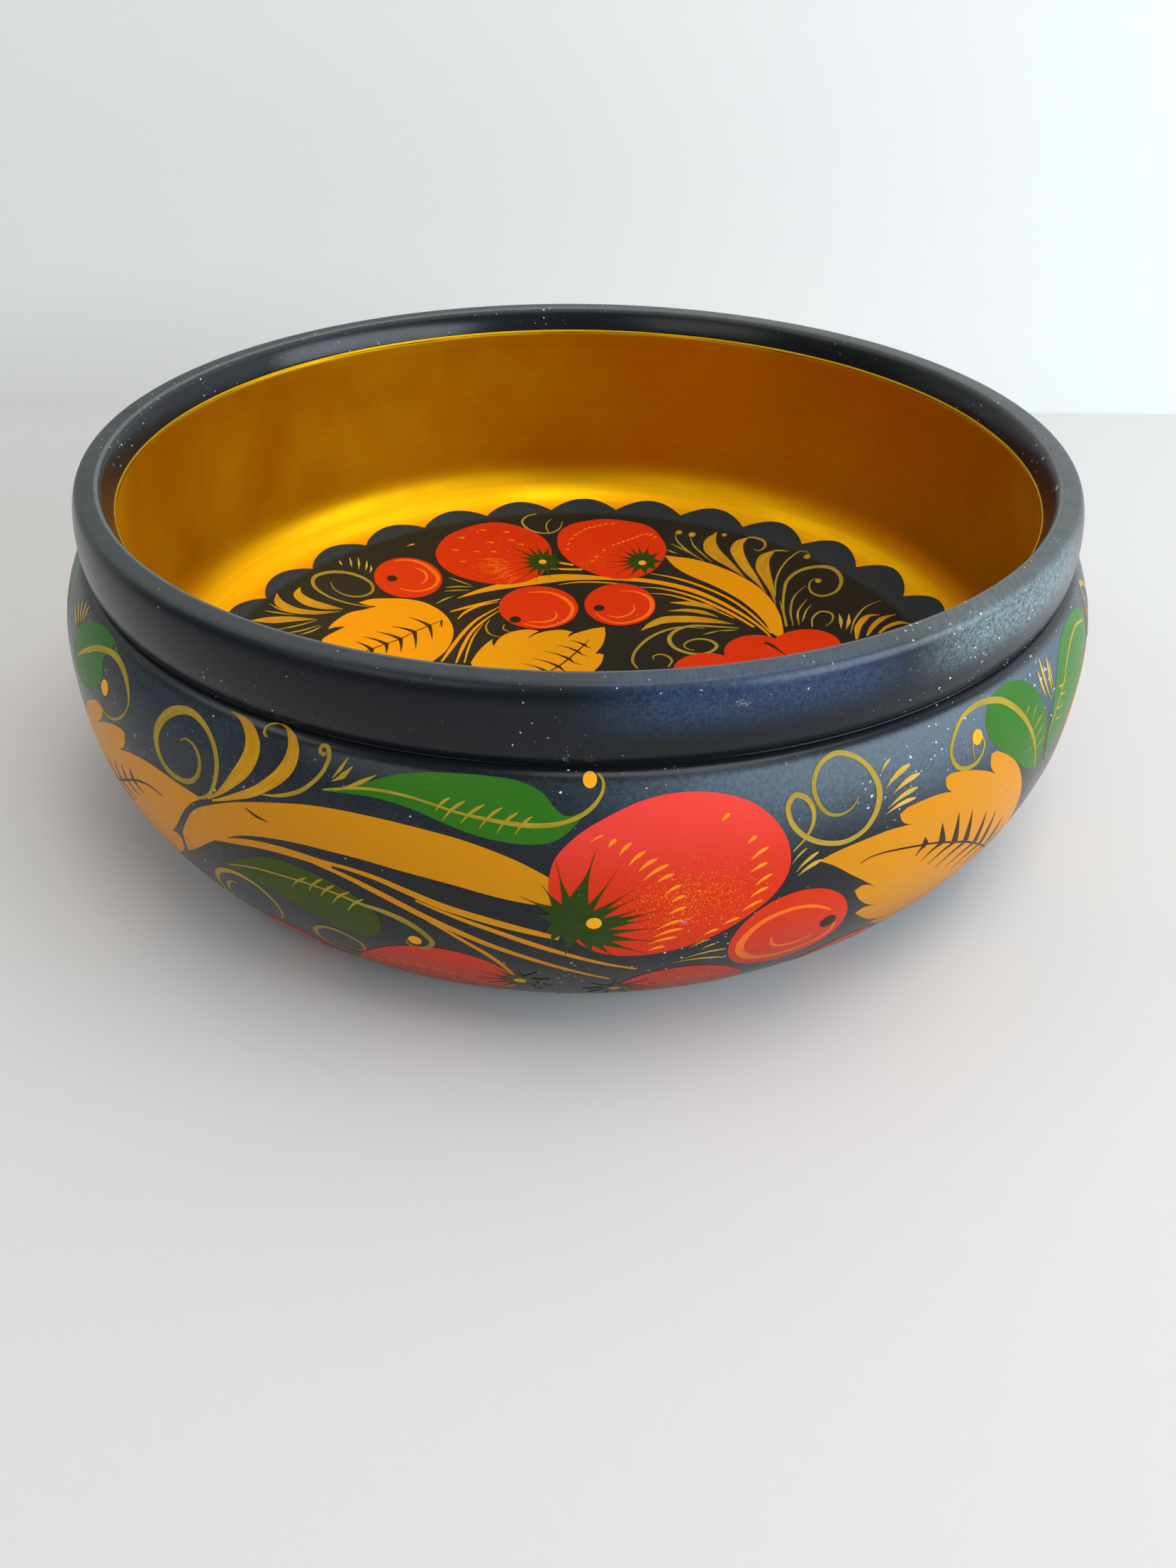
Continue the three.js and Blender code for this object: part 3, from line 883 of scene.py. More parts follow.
def lobed(colour, stretches, layer=0):
    """A leaf with lobes: its outline is smooth stretches that meet in tips and notches, and inside it lie
    points of an even grid. Blender joins them into triangles that keep to the outline."""
    outline = np.vstack([smooth(part, 0.9)[:-1] for part in stretches])
    if np.sum(outline[:, 0] * np.roll(outline[:, 1], -1) - np.roll(outline[:, 0], -1) * outline[:, 1]) < 0:
        outline = outline[::-1]
    low, high = outline.min(0), outline.max(0)
    step, margin = 1.9, 0.8
    x, y = np.meshgrid(np.arange(low[0], high[0], step), np.arange(low[1], high[1], step))
    inner = np.c_[x.ravel(), y.ravel()]
    after = np.roll(outline, -1, 0)
    crosses = (outline[:, 1] > inner[:, None, 1]) != (after[:, 1] > inner[:, None, 1])
    rise = np.where(np.abs(after[:, 1] - outline[:, 1]) < 1e-9, 1e-9, after[:, 1] - outline[:, 1])
    cut = outline[:, 0] + (inner[:, None, 1] - outline[:, 1]) / rise * (after[:, 0] - outline[:, 0])
    held = np.sum(crosses & (inner[:, None, 0] < cut), 1) % 2 == 1
    clear = np.min(np.linalg.norm(inner[:, None] - outline[None], axis=2), 1) > margin
    inner = inner[held & clear]
    every = [Vector(p) for p in np.vstack([outline, inner])]
    ring = list(range(len(outline)))
    plan, _, triangles, kept, _, _ = delaunay_2d_cdt(every, [], [ring], 1, 1e-5)
    plan = np.array([p[:] for p in plan])
    place_of = {old: new for new, olds in enumerate(kept) for old in olds}
    rim = np.array([place_of[i] for i in ring])
    triangles = np.array(triangles)
    a, b, c = (plan[triangles[:, k]] for k in range(3))
    area = (b[:, 0] - a[:, 0]) * (c[:, 1] - a[:, 1]) - (c[:, 0] - a[:, 0]) * (b[:, 1] - a[:, 1])
    triangles[area < 0] = triangles[area < 0][:, ::-1]
    share = (plan - low) / (high - low)
    lay(colour, plan, [triangles], rim, layer, plan + rng.uniform(0, 500), share)


print("the paper is empty:", not paper)

# %% [markdown]
# The belly's ornament
#
# A painter begins with the large shapes, the leaves and the strawberries, then adds stems, then the fine
# work: veins, seeds, curls and hairs. The cells keep that order, and a stroke's layer is its place in it. The
# points were read from the photograph, laid out flat, and are real millimetres. The photograph shows
# about a third of the girth, so the bunch is drawn once and laid round the bowl three times. Its neighbours
# show at both edges of the photograph: the left one has a leaf of its own there, and the right one has a
# narrower curl.

# %% Belly: large leaves
leaf("ochre",  # the long leaf that reaches to the big strawberry
     [(-104.5, 43.5), (-103, 50), (-99, 56.2), (-95.5, 60.7), (-92.3, 63.2), (-88, 65.7), (-82.7, 68.4),
      (-76, 71), (-68.7, 73.2), (-61, 75), (-54.8, 75.8), (-47, 76.1), (-39.6, 75.9), (-32, 75.2),
      (-24.4, 74), (-18, 72.2), (-12, 69.8), (-6, 66.3), (2, 60)],
     [(-104.5, 43), (-98, 48), (-90, 54.4), (-85, 57.6), (-80, 60.4), (-75, 62.2), (-70, 63.5), (-63, 64.6),
      (-55, 65), (-47, 64.9), (-40, 64.2), (-32, 63.2), (-26, 62.2), (-20, 60.8), (-14, 59.5), (-8, 58.6),
      (2, 59)])
lobed("ochre", [  # the right leaf, its tip towards the strawberry
    [(53.7, 63.5), (57, 64.6), (62, 65.5), (67, 66), (72, 66.2), (76, 65.8), (80, 65.2)],
    [(80, 65.2), (77.5, 65.8), (75.3, 67.3), (74.3, 69.4)],
    [(74.3, 69.4), (75.8, 70.3), (79, 70.7), (84, 70.7), (88, 70.2), (92.5, 68.7)],
    [(92.5, 68.7), (90, 69.8), (88.4, 71.5), (87.9, 73.9)],
    [(87.9, 73.9), (89.5, 74.4), (92, 74), (96, 72.9), (100, 71.3), (104, 69.3), (107.5, 67)],
    [(107.5, 67), (105.3, 69), (104.2, 71), (104.3, 73.7)],
    [(104.3, 73.7), (106, 73.8), (109, 72.2), (113, 69.3), (117, 65.5), (120.5, 61), (123.5, 56), (125.8, 50),
     (127.5, 43), (129.5, 36), (134, 29)],
    [(134, 29), (127, 22.5), (118, 19.5), (108, 18.5), (98, 19.5), (90, 22), (84, 25.5), (77, 31)],
    [(77, 31), (80, 31.3), (84, 29.8)],
    [(84, 29.8), (79, 32), (75, 34.4), (71.5, 37.6), (68.1, 41.2)],
    [(68.1, 41.2), (70, 42.4), (72.5, 41.9), (75.5, 40.4)],
    [(75.5, 40.4), (72, 42.6), (69.5, 44.6), (67, 47.4), (65.1, 50.8)],
    [(65.1, 50.8), (66.8, 51.7), (68.8, 51.2), (71.2, 49.8)],
    [(71.2, 49.8), (68.5, 52), (66, 54.2), (63, 56.6), (60, 59.2), (57, 61.5), (53.7, 63.5)],
])
lobed("ochre", [  # the left leaf, its tip beside the long one
    [(-91.2, 66), (-95, 66.4), (-100, 66.7), (-105, 67), (-110, 67), (-115, 66.5), (-120, 65.4), (-127, 63)],
    [(-127, 63), (-124.5, 64.7), (-122.6, 67), (-121.9, 70)],
    [(-121.9, 70), (-123.5, 70.3), (-126, 69.9), (-131, 68.4), (-136, 66.3), (-142.5, 62.5)],
    [(-142.5, 62.5), (-138.5, 65.7), (-135.8, 68), (-134.7, 70.2)],
    [(-134.7, 70.2), (-137, 70.9), (-140, 70.5), (-144, 68.5), (-149, 65.5), (-154, 61), (-158, 55),
     (-160.5, 47), (-162.5, 39), (-167, 31)],
    [(-167, 31), (-160, 23.5), (-151, 20), (-141, 19), (-132, 21), (-124, 26), (-118, 32)],
    [(-118, 32), (-113.5, 36), (-109, 40), (-106.2, 43.5), (-104.9, 47)],
    [(-104.9, 47), (-106.3, 48.3), (-108, 47.9), (-110.2, 46)],
    [(-110.2, 46), (-107.5, 48.8), (-104.5, 52), (-101.5, 56), (-98.2, 60.2), (-95, 63.3), (-91.2, 66)],
])
tally("large leaves")

# %% Belly: stems
stroke("ochre", [(-91, 54.6), (-84, 57.2), (-77, 59.4), (-70, 60.7), (-62, 61.1), (-55, 60.9)],
       [0.6, 1.9, 2.1, 1.8], 0)
stroke("ochre", [(-58, 61.5), (-50, 61.3), (-44, 60.4), (-38, 58.6), (-30, 55.8), (-22, 53.6), (-12, 50.8),
                 (-4, 48.5)], [0.8, 1.3, 1.9, 2.0, 1.4], 0)
stroke("ochre", [(-60, 60.5), (-52, 59), (-46, 57), (-40, 54.5), (-34, 51.6), (-28, 48.7), (-20, 44.6),
                 (-10, 39.6), (0, 34), (8, 29.2)], [0.8, 1.6, 1.7, 1.5, 1.2, 0.8], 0)
stroke("ochre", [(-35, 51.6), (-29, 47.6), (-24, 43.6), (-20.4, 40.2), (-17.5, 36), (-15, 30)],
       [0.5, 1.0, 1.2, 0.9], 0)
stroke("ochre", [(-35.5, 56.2), (-27, 53), (-18, 49.6), (-10, 46), (-2.4, 42.4), (6.9, 37.9), (14, 34.8)],
       [0.5, 1.2, 1.5, 1.2, 0.7], 0)
tally("stems")

# %% Belly: green leaves
leaf("green",  # under the crease, to the left of the strawberry
     [(-56, 79.6), (-50, 81.6), (-45, 83.9), (-40, 86), (-35, 87.2), (-28, 88), (-20, 88.2), (-12, 87.4),
      (-7, 85), (-4.6, 82), (-2.6, 80.6), (1.6, 81.9)],
     [(-56, 79.4), (-50, 80.1), (-44, 80.4), (-39, 80), (-34, 79), (-28, 77.2), (-21.5, 75.4), (-15.2, 74.4),
      (-9.5, 74.2), (-5.4, 74.9), (-2.2, 77), (1.6, 81.4)])
leaf("dark_green",  # under the stems
     [(-89.5, 47.9), (-84, 51.2), (-80, 53.8), (-75, 56.4), (-70, 57.6), (-65, 57.8), (-60, 57.2),
      (-55, 55.7), (-50, 53.3), (-46.6, 50.7), (-45, 47.6), (-45.3, 44.3)],
     [(-89.5, 47.7), (-83, 46.9), (-76, 46), (-70, 44.4), (-64, 42), (-59, 39.8), (-54, 38.6), (-50, 38.9),
      (-47, 40.7), (-45.3, 44.1)])
leaf("green",  # at the right edge, under the curl
     [(131, 56.5), (126.5, 59.3), (121, 62.7), (116, 66.8), (110.5, 71.3), (106, 75.2), (103.3, 79),
      (103.2, 82.2), (105, 85.2)],
     [(131.2, 56.5), (132.2, 63), (131.8, 69.5), (129.6, 76), (126, 81.4), (121, 85.8), (116, 87.5),
      (110, 87.3), (105.2, 85.4)])
leaf("green",
     [(136.3, 56.5), (134.9, 63), (134.8, 69), (136, 75), (139, 80), (143.3, 84), (149, 86.6), (155.5, 87.4),
      (162, 87), (168, 85.5), (172.8, 82)],
     [(136.6, 56.5), (142, 59.3), (148, 62.5), (154, 65.6), (160, 68.6), (166, 71.8), (171, 76), (173, 81.6)])
tally("green leaves")

# %% Belly: strawberries and berries
blob("red", [(-6.1, 65), (-4.9, 70.8), (-0.4, 76.3), (6.7, 80.8), (14, 83.8), (22, 84.9), (30, 84),
             (38, 80.7), (43.3, 75.3), (46.2, 68.5), (46.4, 62.5), (43.6, 56.8), (38.9, 52.2), (33.7, 48.2),
             (27.9, 44.9), (22, 42.6), (15, 41.5), (8.1, 42), (2.4, 44.8), (-2, 50), (-5.2, 57)], 1, 26)
blob("red", [(-60, 16), (-56.5, 25), (-52, 30.5), (-45.5, 36), (-40, 38.8), (-34, 40.1), (-28, 39.8),
             (-22, 37.7), (-17.5, 33.8), (-15, 28), (-16, 20), (-21, 14), (-29, 10), (-39, 8.2), (-50, 9),
             (-57, 11.5)], 1, 18)
blob("red", [(11.5, 26), (15, 30.4), (20, 32.8), (27, 33.4), (33.5, 31.6), (38.5, 28), (42.8, 22.3),
             (44.2, 16), (42, 11), (35, 8), (26, 7.8), (17.5, 10.8), (12, 17)], 1, 16)
disc("red", (50.1, 41.2), 15.1, 1, 0.98)
disc("red", (-80, 14.5), 13.2, 1, 0.98)
disc("red", (74, 15.5), 12.4, 1, 0.95)
stroke("berry_ring", [(62.6, 40.4), (62.2, 37), (59.3, 33.6), (54, 31.6), (48, 31.2), (42.2, 33.1),
                      (38.7, 36.9), (37.9, 41), (39.2, 45), (42.2, 48.5), (46.4, 50.3), (51, 50.6),
                      (56, 49.1), (59.6, 46.6)], [0.9, 1.2, 1.3, 1.7, 2.2, 2.2, 1.5, 1.2, 1.0, 0.5], 2)
stroke("berry_ring", [(45.6, 41.2), (46.3, 38.2), (49, 36.1), (53, 35.9), (57.3, 37.6)], [0.5, 1.0, 1.0, 0.4],
       2)
for x, y in ((-80, 14.5), (74, 15.5)):
    stroke("berry_ring", [(x + 10.5, y - 1), (x + 8, y - 7.5), (x, y - 9.8), (x - 8, y - 7), (x - 10, y),
                          (x - 7, y + 7.4), (x, y + 9.4), (x + 6, y + 7.6)], [0.9, 1.5, 2, 1.4, 0.5], 2)
    stroke("berry_ring", [(x - 4.4, y), (x - 3, y - 4), (x + 1.4, y - 5.2), (x + 5.4, y - 3.4)],
           [0.4, 1, 0.4], 2)
    disc("black", (x + 8, y + 1), 2.0)
disc("black", (60.2, 41.8), 2.1, 3, 1.08)
tally("strawberries and berries")

# %% Belly: the strawberries' leaves, seeds and glow


def star(middle, tips, core, layer=3, notches=None):
    """A strawberry's green star. Its outline runs from tip to notch to tip, with sides that bend inwards, and
    a notch lies core away from the middle between two tips unless it is given."""
    middle, tips = np.array(middle, float), np.array(tips, float)
    if notches is None:
        out = tips - middle
        out /= np.linalg.norm(out, axis=1)[:, None]
        between = out + np.roll(out, -1, 0)
        notches = middle + core * between / np.linalg.norm(between, axis=1)[:, None]
    notches = np.array(notches, float)
    stretches = []
    for i in range(len(tips)):
        before, here, after = notches[i - 1], notches[i], notches[(i + 1) % len(tips)]
        tip, following = tips[i], tips[(i + 1) % len(tips)]
        stretches.append([tip, (tip + here) / 2 + 0.16 * (before - here), here])
        stretches.append([here, (here + following) / 2 + 0.16 * (after - here), following])
    lobed("star", stretches, layer)


star((0.5, 53.5),
     [(3.8, 73.4), (8.4, 68.6), (12.0, 63), (12.8, 61), (14.8, 57.8), (18.9, 57), (17.2, 54.5), (18.4, 51.4),
      (18, 46.5), (16.2, 42), (8.7, 41.1), (4.6, 40.4), (-2.7, 41.6), (-6.7, 45.8), (-7.5, 50), (-11.1, 56.8),
      (-12.2, 61), (-7.5, 64.4), (-4.6, 71.2)], 6,
     notches=[(2.3, 58.9), (3.3, 57.2), (6.2, 57.6), (5.3, 55), (8.7, 55.1), (10, 53.7), (6.5, 51.6),
              (7.5, 49.8), (7.3, 47.6), (5.6, 46.2), (3.3, 46.3), (0.2, 48.5), (-3.4, 49.8), (-5.6, 50.6),
              (-5.5, 54), (-5.5, 56), (-5.3, 58.5), (-3.2, 59), (-1.7, 61.1)])
star((-14, 26.7), [(-9.5, 33.5), (-14, 36), (-19.5, 34), (-23, 30.5), (-24.5, 26), (-23.5, 21.5), (-20, 18),
                   (-14.5, 16.5), (-9, 18.5), (-6, 23), (-6.5, 29)][::-1], 3.4)
star((10, 20.3), [(9, 29.5), (17.5, 28), (20.5, 23.5), (21, 18.5), (18.5, 14), (13.5, 11), (7.5, 11.3),
                  (3, 15), (1.4, 20.5), (3.6, 26)], 3.2)
for middle, radius in (((3.6, 53.6), 1.7), ((-14, 26.7), 1.6), ((9.6, 20.3), 1.5)):
    disc("dot", middle, radius, 4)
seed_dashes = [
    (8, 75.6, 6.4, 73.9), (11.2, 74.7, 8.6, 71.8), (14.1, 72.6, 10.6, 69.3), (16.6, 70.7, 12.8, 67.7),
    (19.1, 69, 13.8, 65.3), (20.3, 66.5, 16.8, 64.6), (22.1, 63.4, 18.8, 61.3), (23.1, 60.3, 20.3, 58.8),
    (23.6, 57, 19.8, 55.2), (22.9, 53, 17.4, 50.7), (23.1, 50.3, 16.8, 48.1), (22.1, 47.5, 15.8, 45.7),
    (19.6, 44.4, 16, 43.3), (32.4, 79.3, 30.6, 77.9), (38.3, 73.4, 36.3, 71.9), (41, 70.2, 37.4, 67.8),
    (41, 66.2, 37.4, 64.4), (42.4, 62.9, 38.8, 60.4), (41.9, 59.3, 38, 57.2), (41, 55.7, 36.4, 53.3),
    (36, 51.4, 32.4, 49.8), (31.5, 48.6, 28.4, 47.2),
]
for x, y, to_x, to_y in seed_dashes:
    dash("seed", (x, y), (to_x, to_y), 0.95)
for i in range(9):
    dash("seed", (-52 + 4 * i, 22 + 7 * math.sin(0.35 * i + 0.6)),
         (-49.6 + 4 * i, 20 + 7 * math.sin(0.35 * i + 0.6)), 0.8)
    dash("seed", (18 + 2.6 * i, 24 + 3 * math.sin(0.4 * i)), (16.6 + 2.6 * i, 22.4 + 3 * math.sin(0.4 * i)),
         0.7)
glow = rng.normal(size=(900, 2)) * (7.2, 4.4) + (24, 58.6)
glow = np.vstack([glow, rng.normal(size=(110, 2)) * (5, 3.4) + (-36, 22)])
for x, y in glow:
    disc("glow", (x, y), 0.07 + 0.09 * rng.uniform(), 2, 0.8)
tally("seeds and glow")

# %% Belly: veins
stroke("dark", [(65, 59.3), (67, 60.1), (70, 60.2), (75, 59.5), (81, 58.1), (86, 56.7), (91, 54.8),
                (96, 52.4), (101, 49.9), (106, 46.6), (111, 43), (116, 38.9), (122, 34), (128, 29.5)],
       [0.25, 0.55, 0.5, 0.6, 0.5, 0.6, 0.5], 1)
right_combs = [(84.2, 57, 83.7, 59.6, 81.8, 54.7), (90.4, 55, 88.8, 61.5, 84.4, 52),
               (95.6, 52.7, 94.4, 62, 87.6, 49.4), (100.7, 50.2, 99.8, 60.2, 91.3, 46.1),
               (106.3, 46.8, 106.7, 56.6, 96.5, 43.4), (110.9, 43.6, 111.7, 54, 101, 40),
               (116.8, 40.2, 118, 48.6, 108, 37), (122.5, 35.5, 123.5, 42, 115.5, 32.5)]
for x, y, up_x, up_y, down_x, down_y in right_combs:
    stroke("dark", [(x, y - 0.3), ((2 * x + up_x) / 3, (2 * y + up_y) / 3), (up_x, up_y)], [2.6, 1.5, 0.15],
           1)
    stroke("dark", [(x + 0.3, y), ((x + down_x) / 2 + 0.3, (y + down_y) / 2 + 0.7), (down_x, down_y)],
           [1.3, 0.7, 0.15], 1)
stroke("dark", [(-107.5, 59.1), (-112, 59.4), (-118, 58.1), (-124, 55.3), (-131, 51.3), (-138, 47.2),
                (-145, 43), (-152, 38.8), (-160, 34.5)], [0.3, 0.7, 0.7, 0.8, 0.7, 0.6], 1)
for x, y, reach in ((-122.5, 56.1, 3.4), (-128, 53.1, 4.6), (-134, 49.6, 6), (-140, 46, 7), (-146, 42.4, 7),
                    (-152, 38.9, 6)):
    stroke("dark", [(x, y), (x - 0.6, y + reach * 0.4), (x - 0.6, y + reach)], [2.0, 1.2, 0.15], 1)
    stroke("dark", [(x, y), (x + reach * 0.7, y - 1.2), (x + reach * 1.4, y - 1.6)], [1.2, 0.7, 0.15], 1)
stroke("dark", [(-77, 69.2), (-74.5, 68.2), (-71, 67.7)], [0.3, 0.7, 0.2], 1)
stroke("yellow_line", [(-56.5, 79.6), (-53, 80.6), (-48, 81.7), (-42, 82.2), (-36, 81.9), (-30, 80.9),
                       (-25, 79.9), (-20, 79.3), (-14, 78.6), (-8, 78.5), (-2.4, 79.5), (1.8, 81.6),
                       (4.2, 84), (5.4, 86.6), (5.2, 88.4), (4.2, 89.6)],
       [0.3, 0.6, 0.6, 0.5, 0.5, 0.8, 1.1, 1.0, 0.9, 0.5], 1)
for x, y, to_x, to_y in ((-30.3, 79.8, -27.4, 82.9), (-28.7, 77.8, -24, 82.6), (-24.7, 77.8, -19.8, 82.2),
                         (-20.8, 76.9, -16, 81.9), (-17, 76.4, -12.6, 81.1), (-13.2, 76.2, -9.6, 80.4)):
    dash("yellow_line", (to_x, to_y), (x, y), 0.75)
disc("dot", (2.5, 88.3), 1.5, 3, 1.2)
dash("seed", (5.4, 76.6), (2.6, 75), 0.35)
stroke("olive", [(-87, 48.3), (-82, 50.3), (-76, 52), (-70, 52.8), (-63, 53.2), (-55, 52.7), (-49, 51.4),
                 (-43, 50.4), (-38, 48.3), (-34.6, 45.3), (-33.2, 42.2), (-34.6, 40), (-37.6, 38.9),
                 (-39.6, 40.2), (-39.4, 41.8)], [0.3, 0.5, 0.5, 0.5, 0.9, 1.7, 1.3, 0.5], 1)
for x, y, to_x, to_y in ((-67, 50.6, -62.4, 54.9), (-62.4, 51, -58, 56.1), (-59.4, 50.3, -55.2, 55.1),
                         (-56.6, 49.1, -51.4, 54.4), (-53, 47.6, -48.3, 53.1)):
    dash("yellow_line", (to_x, to_y), (x, y), 0.7)
disc("dot", (-37.4, 42.1), 1.6, 3)
tally("veins")

# %% Belly: curls and plumes on the left
stroke("olive", [(-92.5, 65.8), (-90, 66.9), (-87.6, 69.3), (-86, 73), (-85.6, 77), (-87.2, 81), (-91, 84.2),
                 (-96, 85.6), (-101, 84.4), (-105, 81.3), (-107.1, 77), (-106.5, 72.5), (-103.5, 69.2),
                 (-99, 68.2), (-94.6, 69.3), (-91.8, 72), (-91, 75), (-92.2, 77.8), (-94.4, 79.1),
                 (-96.6, 79.2), (-98.2, 78.2)], [0.7, 1.0, 1.3, 1.2, 1.6, 2.5, 2.3, 1.5, 1.5, 1.2, 0.9, 0.3],
       1)
leaf("plume", [(-89, 67.2), (-85, 70.9), (-81.2, 76.4), (-78.9, 80.5), (-78.1, 83), (-78.4, 85.4),
               (-79.9, 87.5), (-82, 88.8), (-84.6, 89.5)],
     [(-88.6, 66.9), (-82, 71.7), (-78.5, 74.8), (-76.2, 77.2), (-74.5, 80.2), (-73.9, 82.6), (-74.1, 84.9),
      (-75.4, 87.1), (-77.9, 88.9), (-80.6, 89.6), (-84.6, 89.6)], 1, 5)
leaf("plume", [(-87.6, 67.3), (-83.6, 69.6), (-78.5, 72.8), (-74, 75.8), (-70.9, 78.6), (-68.4, 81.5),
               (-66.9, 84.6), (-66.7, 87), (-67.8, 89.2), (-69.4, 90.4), (-71.8, 90.7)],
     [(-87.4, 66.9), (-81.5, 69.5), (-73.1, 73.6), (-68.5, 77), (-66.3, 79), (-64.4, 81.5), (-63.6, 84),
      (-63.8, 86.8), (-65.1, 88.9), (-67.7, 90.4), (-69.8, 91.1), (-71.8, 90.9)], 1, 5)
stroke("olive", [(-71.4, 90.8), (-73, 90.2), (-73.9, 89), (-73.6, 87.6), (-72.6, 87.2)],
       [0.4, 0.6, 0.5, 0.8, 0.5], 1)
stroke("olive", [(-72, 74.2), (-68.4, 75), (-65, 76.3), (-62, 77.9), (-59.6, 80), (-57.7, 82.2), (-56.3, 85),
                 (-56, 87.2), (-57, 88.8), (-58.3, 88.8), (-58.6, 87.7), (-57.6, 87), (-56.8, 87.4)],
       [0.3, 0.8, 1.0, 0.9, 0.9, 1.0, 0.9], 1)
stroke("yellow_line", [(-54.4, 82.6), (-52.9, 84.8), (-51.4, 87.6)], [0.15, 0.8, 0.15], 1)
stroke("yellow_line", [(-54.4, 81.9), (-52.1, 83.5), (-50, 86)], [0.15, 1.3, 0.15], 1)
stroke("yellow_line", [(-53.8, 79.9), (-50, 81.7), (-47.1, 83.4), (-44.2, 85.2)], [0.15, 0.6, 1.0, 0.15], 1)
tally("curls and plumes on the left")

# %% Belly: curls and hairs on the right
stroke("olive", [(47, 67.8), (50, 70.9), (51.5, 74), (51.5, 77), (49.7, 80), (47.4, 80.9), (45.7, 79.1),
                 (46, 75.7), (48, 72.5), (51.2, 69.8), (55.4, 67.8), (60, 67), (64.6, 68.6), (67.6, 72.6),
                 (68.4, 77.2), (66.8, 82), (63.2, 86), (58.4, 87.8), (54, 86.1), (52, 82.3), (52.7, 78.3),
                 (55.4, 75), (58.8, 74.2), (61.8, 75.6), (63, 77.4)],
       [0.3, 1.0, 1.2, 1.2, 1.2, 1.3, 1.6, 1.2, 1.1, 1.1, 0.8, 0.3], 1)
for head, tail, width in (
    ((50.2, 67.9), (47, 64.4), 0.5), ((53.2, 66.1), (48.2, 61.9), 1.0), ((54.2, 63.7), (48.8, 60.7), 1.2),
    ((72.2, 83.4), (69.2, 80.8), 0.7), ((77.4, 80.7), (70, 77), 1.5), ((80, 77.8), (72, 75.2), 1.3),
    ((79.2, 74.7), (70.6, 72.1), 1.2), ((78.6, 72.3), (70.2, 70.8), 1.1), ((31.6, 43.1), (28.4, 41.4), 0.5),
    ((34.6, 40.1), (24, 37.8), 0.6), ((35, 35.9), (22, 36.6), 0.5), ((30, 45.2), (25.4, 42.6), 0.4),
):
    dash("grass", head, tail, width, 1)
stroke("yellow_line", [(130, 57.5), (128, 61.8), (125.4, 67.1), (122.5, 72), (119, 77), (115, 81.4),
                       (110.6, 84.7), (105.5, 86.4), (100, 86.8), (95, 85.5), (91.6, 82.5), (90.1, 79),
                       (91.4, 75.8), (94.6, 73.9), (98, 73.7), (100.8, 75.4), (101.8, 77.8), (101.3, 79.4)],
       [0.3, 0.7, 1.0, 1.4, 1.5, 1.6, 1.4, 1.0, 1.0, 1.1, 0.9, 0.5], 1)
stroke("olive", [(97.8, 79.3), (97.5, 77.2), (98, 74.6)], [0.5, 0.4, 0.3], 1)
disc("dot", (99.4, 79.9), 1.8, 3)
for x, y, to_x, to_y in ((119.8, 77.4, 121.8, 78.9), (122.6, 74.4, 125.4, 77.7), (121.8, 70.2, 128.3, 73.9),
                         (122.3, 66.2, 129.4, 70.9), (126, 64.4, 131, 66.7)):
    dash("yellow_line", (to_x, to_y), (x, y), 0.55)
stroke("yellow_line", [(134.2, 61), (134.4, 66.5), (137.2, 70.4), (140.8, 73.4), (143.6, 76.1), (146, 78.8),
                       (151.6, 82.1), (159.6, 83.5), (169.2, 81.2)], [0.3, 0.7, 0.7, 0.8, 0.7], 1)
for x, y, to_x, to_y in ((139, 76.4, 146, 75.7), (140, 74.1, 145.2, 72.6), (138, 71.1, 143.7, 70),
                         (138, 68.2, 143.8, 66.6)):
    dash("yellow_line", (x, y), (to_x, to_y), 0.6)
for head, tail, width in (((129.2, 84.8), (131.4, 76.8), 1.0), ((131.6, 87.2), (133.6, 75.2), 0.9),
                          ((135.4, 85.8), (134.9, 76), 0.8), ((136, 84.4), (136, 77.3), 0.6)):
    dash("grass", head, tail, width, 1)
tally("curls and hairs on the right")

# %% Belly: curls at the ends, and grass at the foot
stroke("yellow_line", [(-156.6, 72.6), (-156, 75), (-152.6, 77.6), (-148, 80.4), (-143, 83.2), (-138, 85),
                       (-132, 86.1), (-127, 85.4), (-123, 83.2), (-120.8, 80.6), (-120, 78.4)],
       [0.3, 1.0, 1.5, 1.5, 1.5, 1.7, 1.6, 0.5], 1)
disc("dot", (-133.3, 77), 2.0, 3)
stroke("olive",
       [(-135.4, 71.4), (-133, 70.3), (-129.6, 70.5), (-126, 72), (-123, 74), (-120.8, 76.6), (-120, 79)],
       [0.3, 0.6, 0.7, 0.7, 0.6], 1)
stroke("olive", [(-98.5, 29), (-97, 36), (-94, 41.5), (-89, 45), (-83.5, 45.9), (-78.5, 44.3), (-75.6, 40.5),
                 (-75.3, 36), (-77.4, 31.6), (-81, 28.4)], [1.2, 1.7, 1.5, 1.0, 0.9, 0.6], 1)
stroke("olive", [(-95, 30), (-93.5, 35.6), (-90.4, 39.9), (-86.8, 41.6)], [0.9, 1.1, 0.4], 1)
stroke("olive", [(-57, 24.5), (-62.6, 23.6), (-66.6, 27.8), (-66.5, 33), (-63, 36.6), (-59.4, 37.4),
                 (-55.4, 36), (-52.9, 33), (-53.6, 30), (-56.5, 28.4), (-59.5, 29.5), (-60.5, 32)],
       [0.6, 1.1, 1.4, 1.3, 1.0, 0.9, 0.7, 0.3], 1)
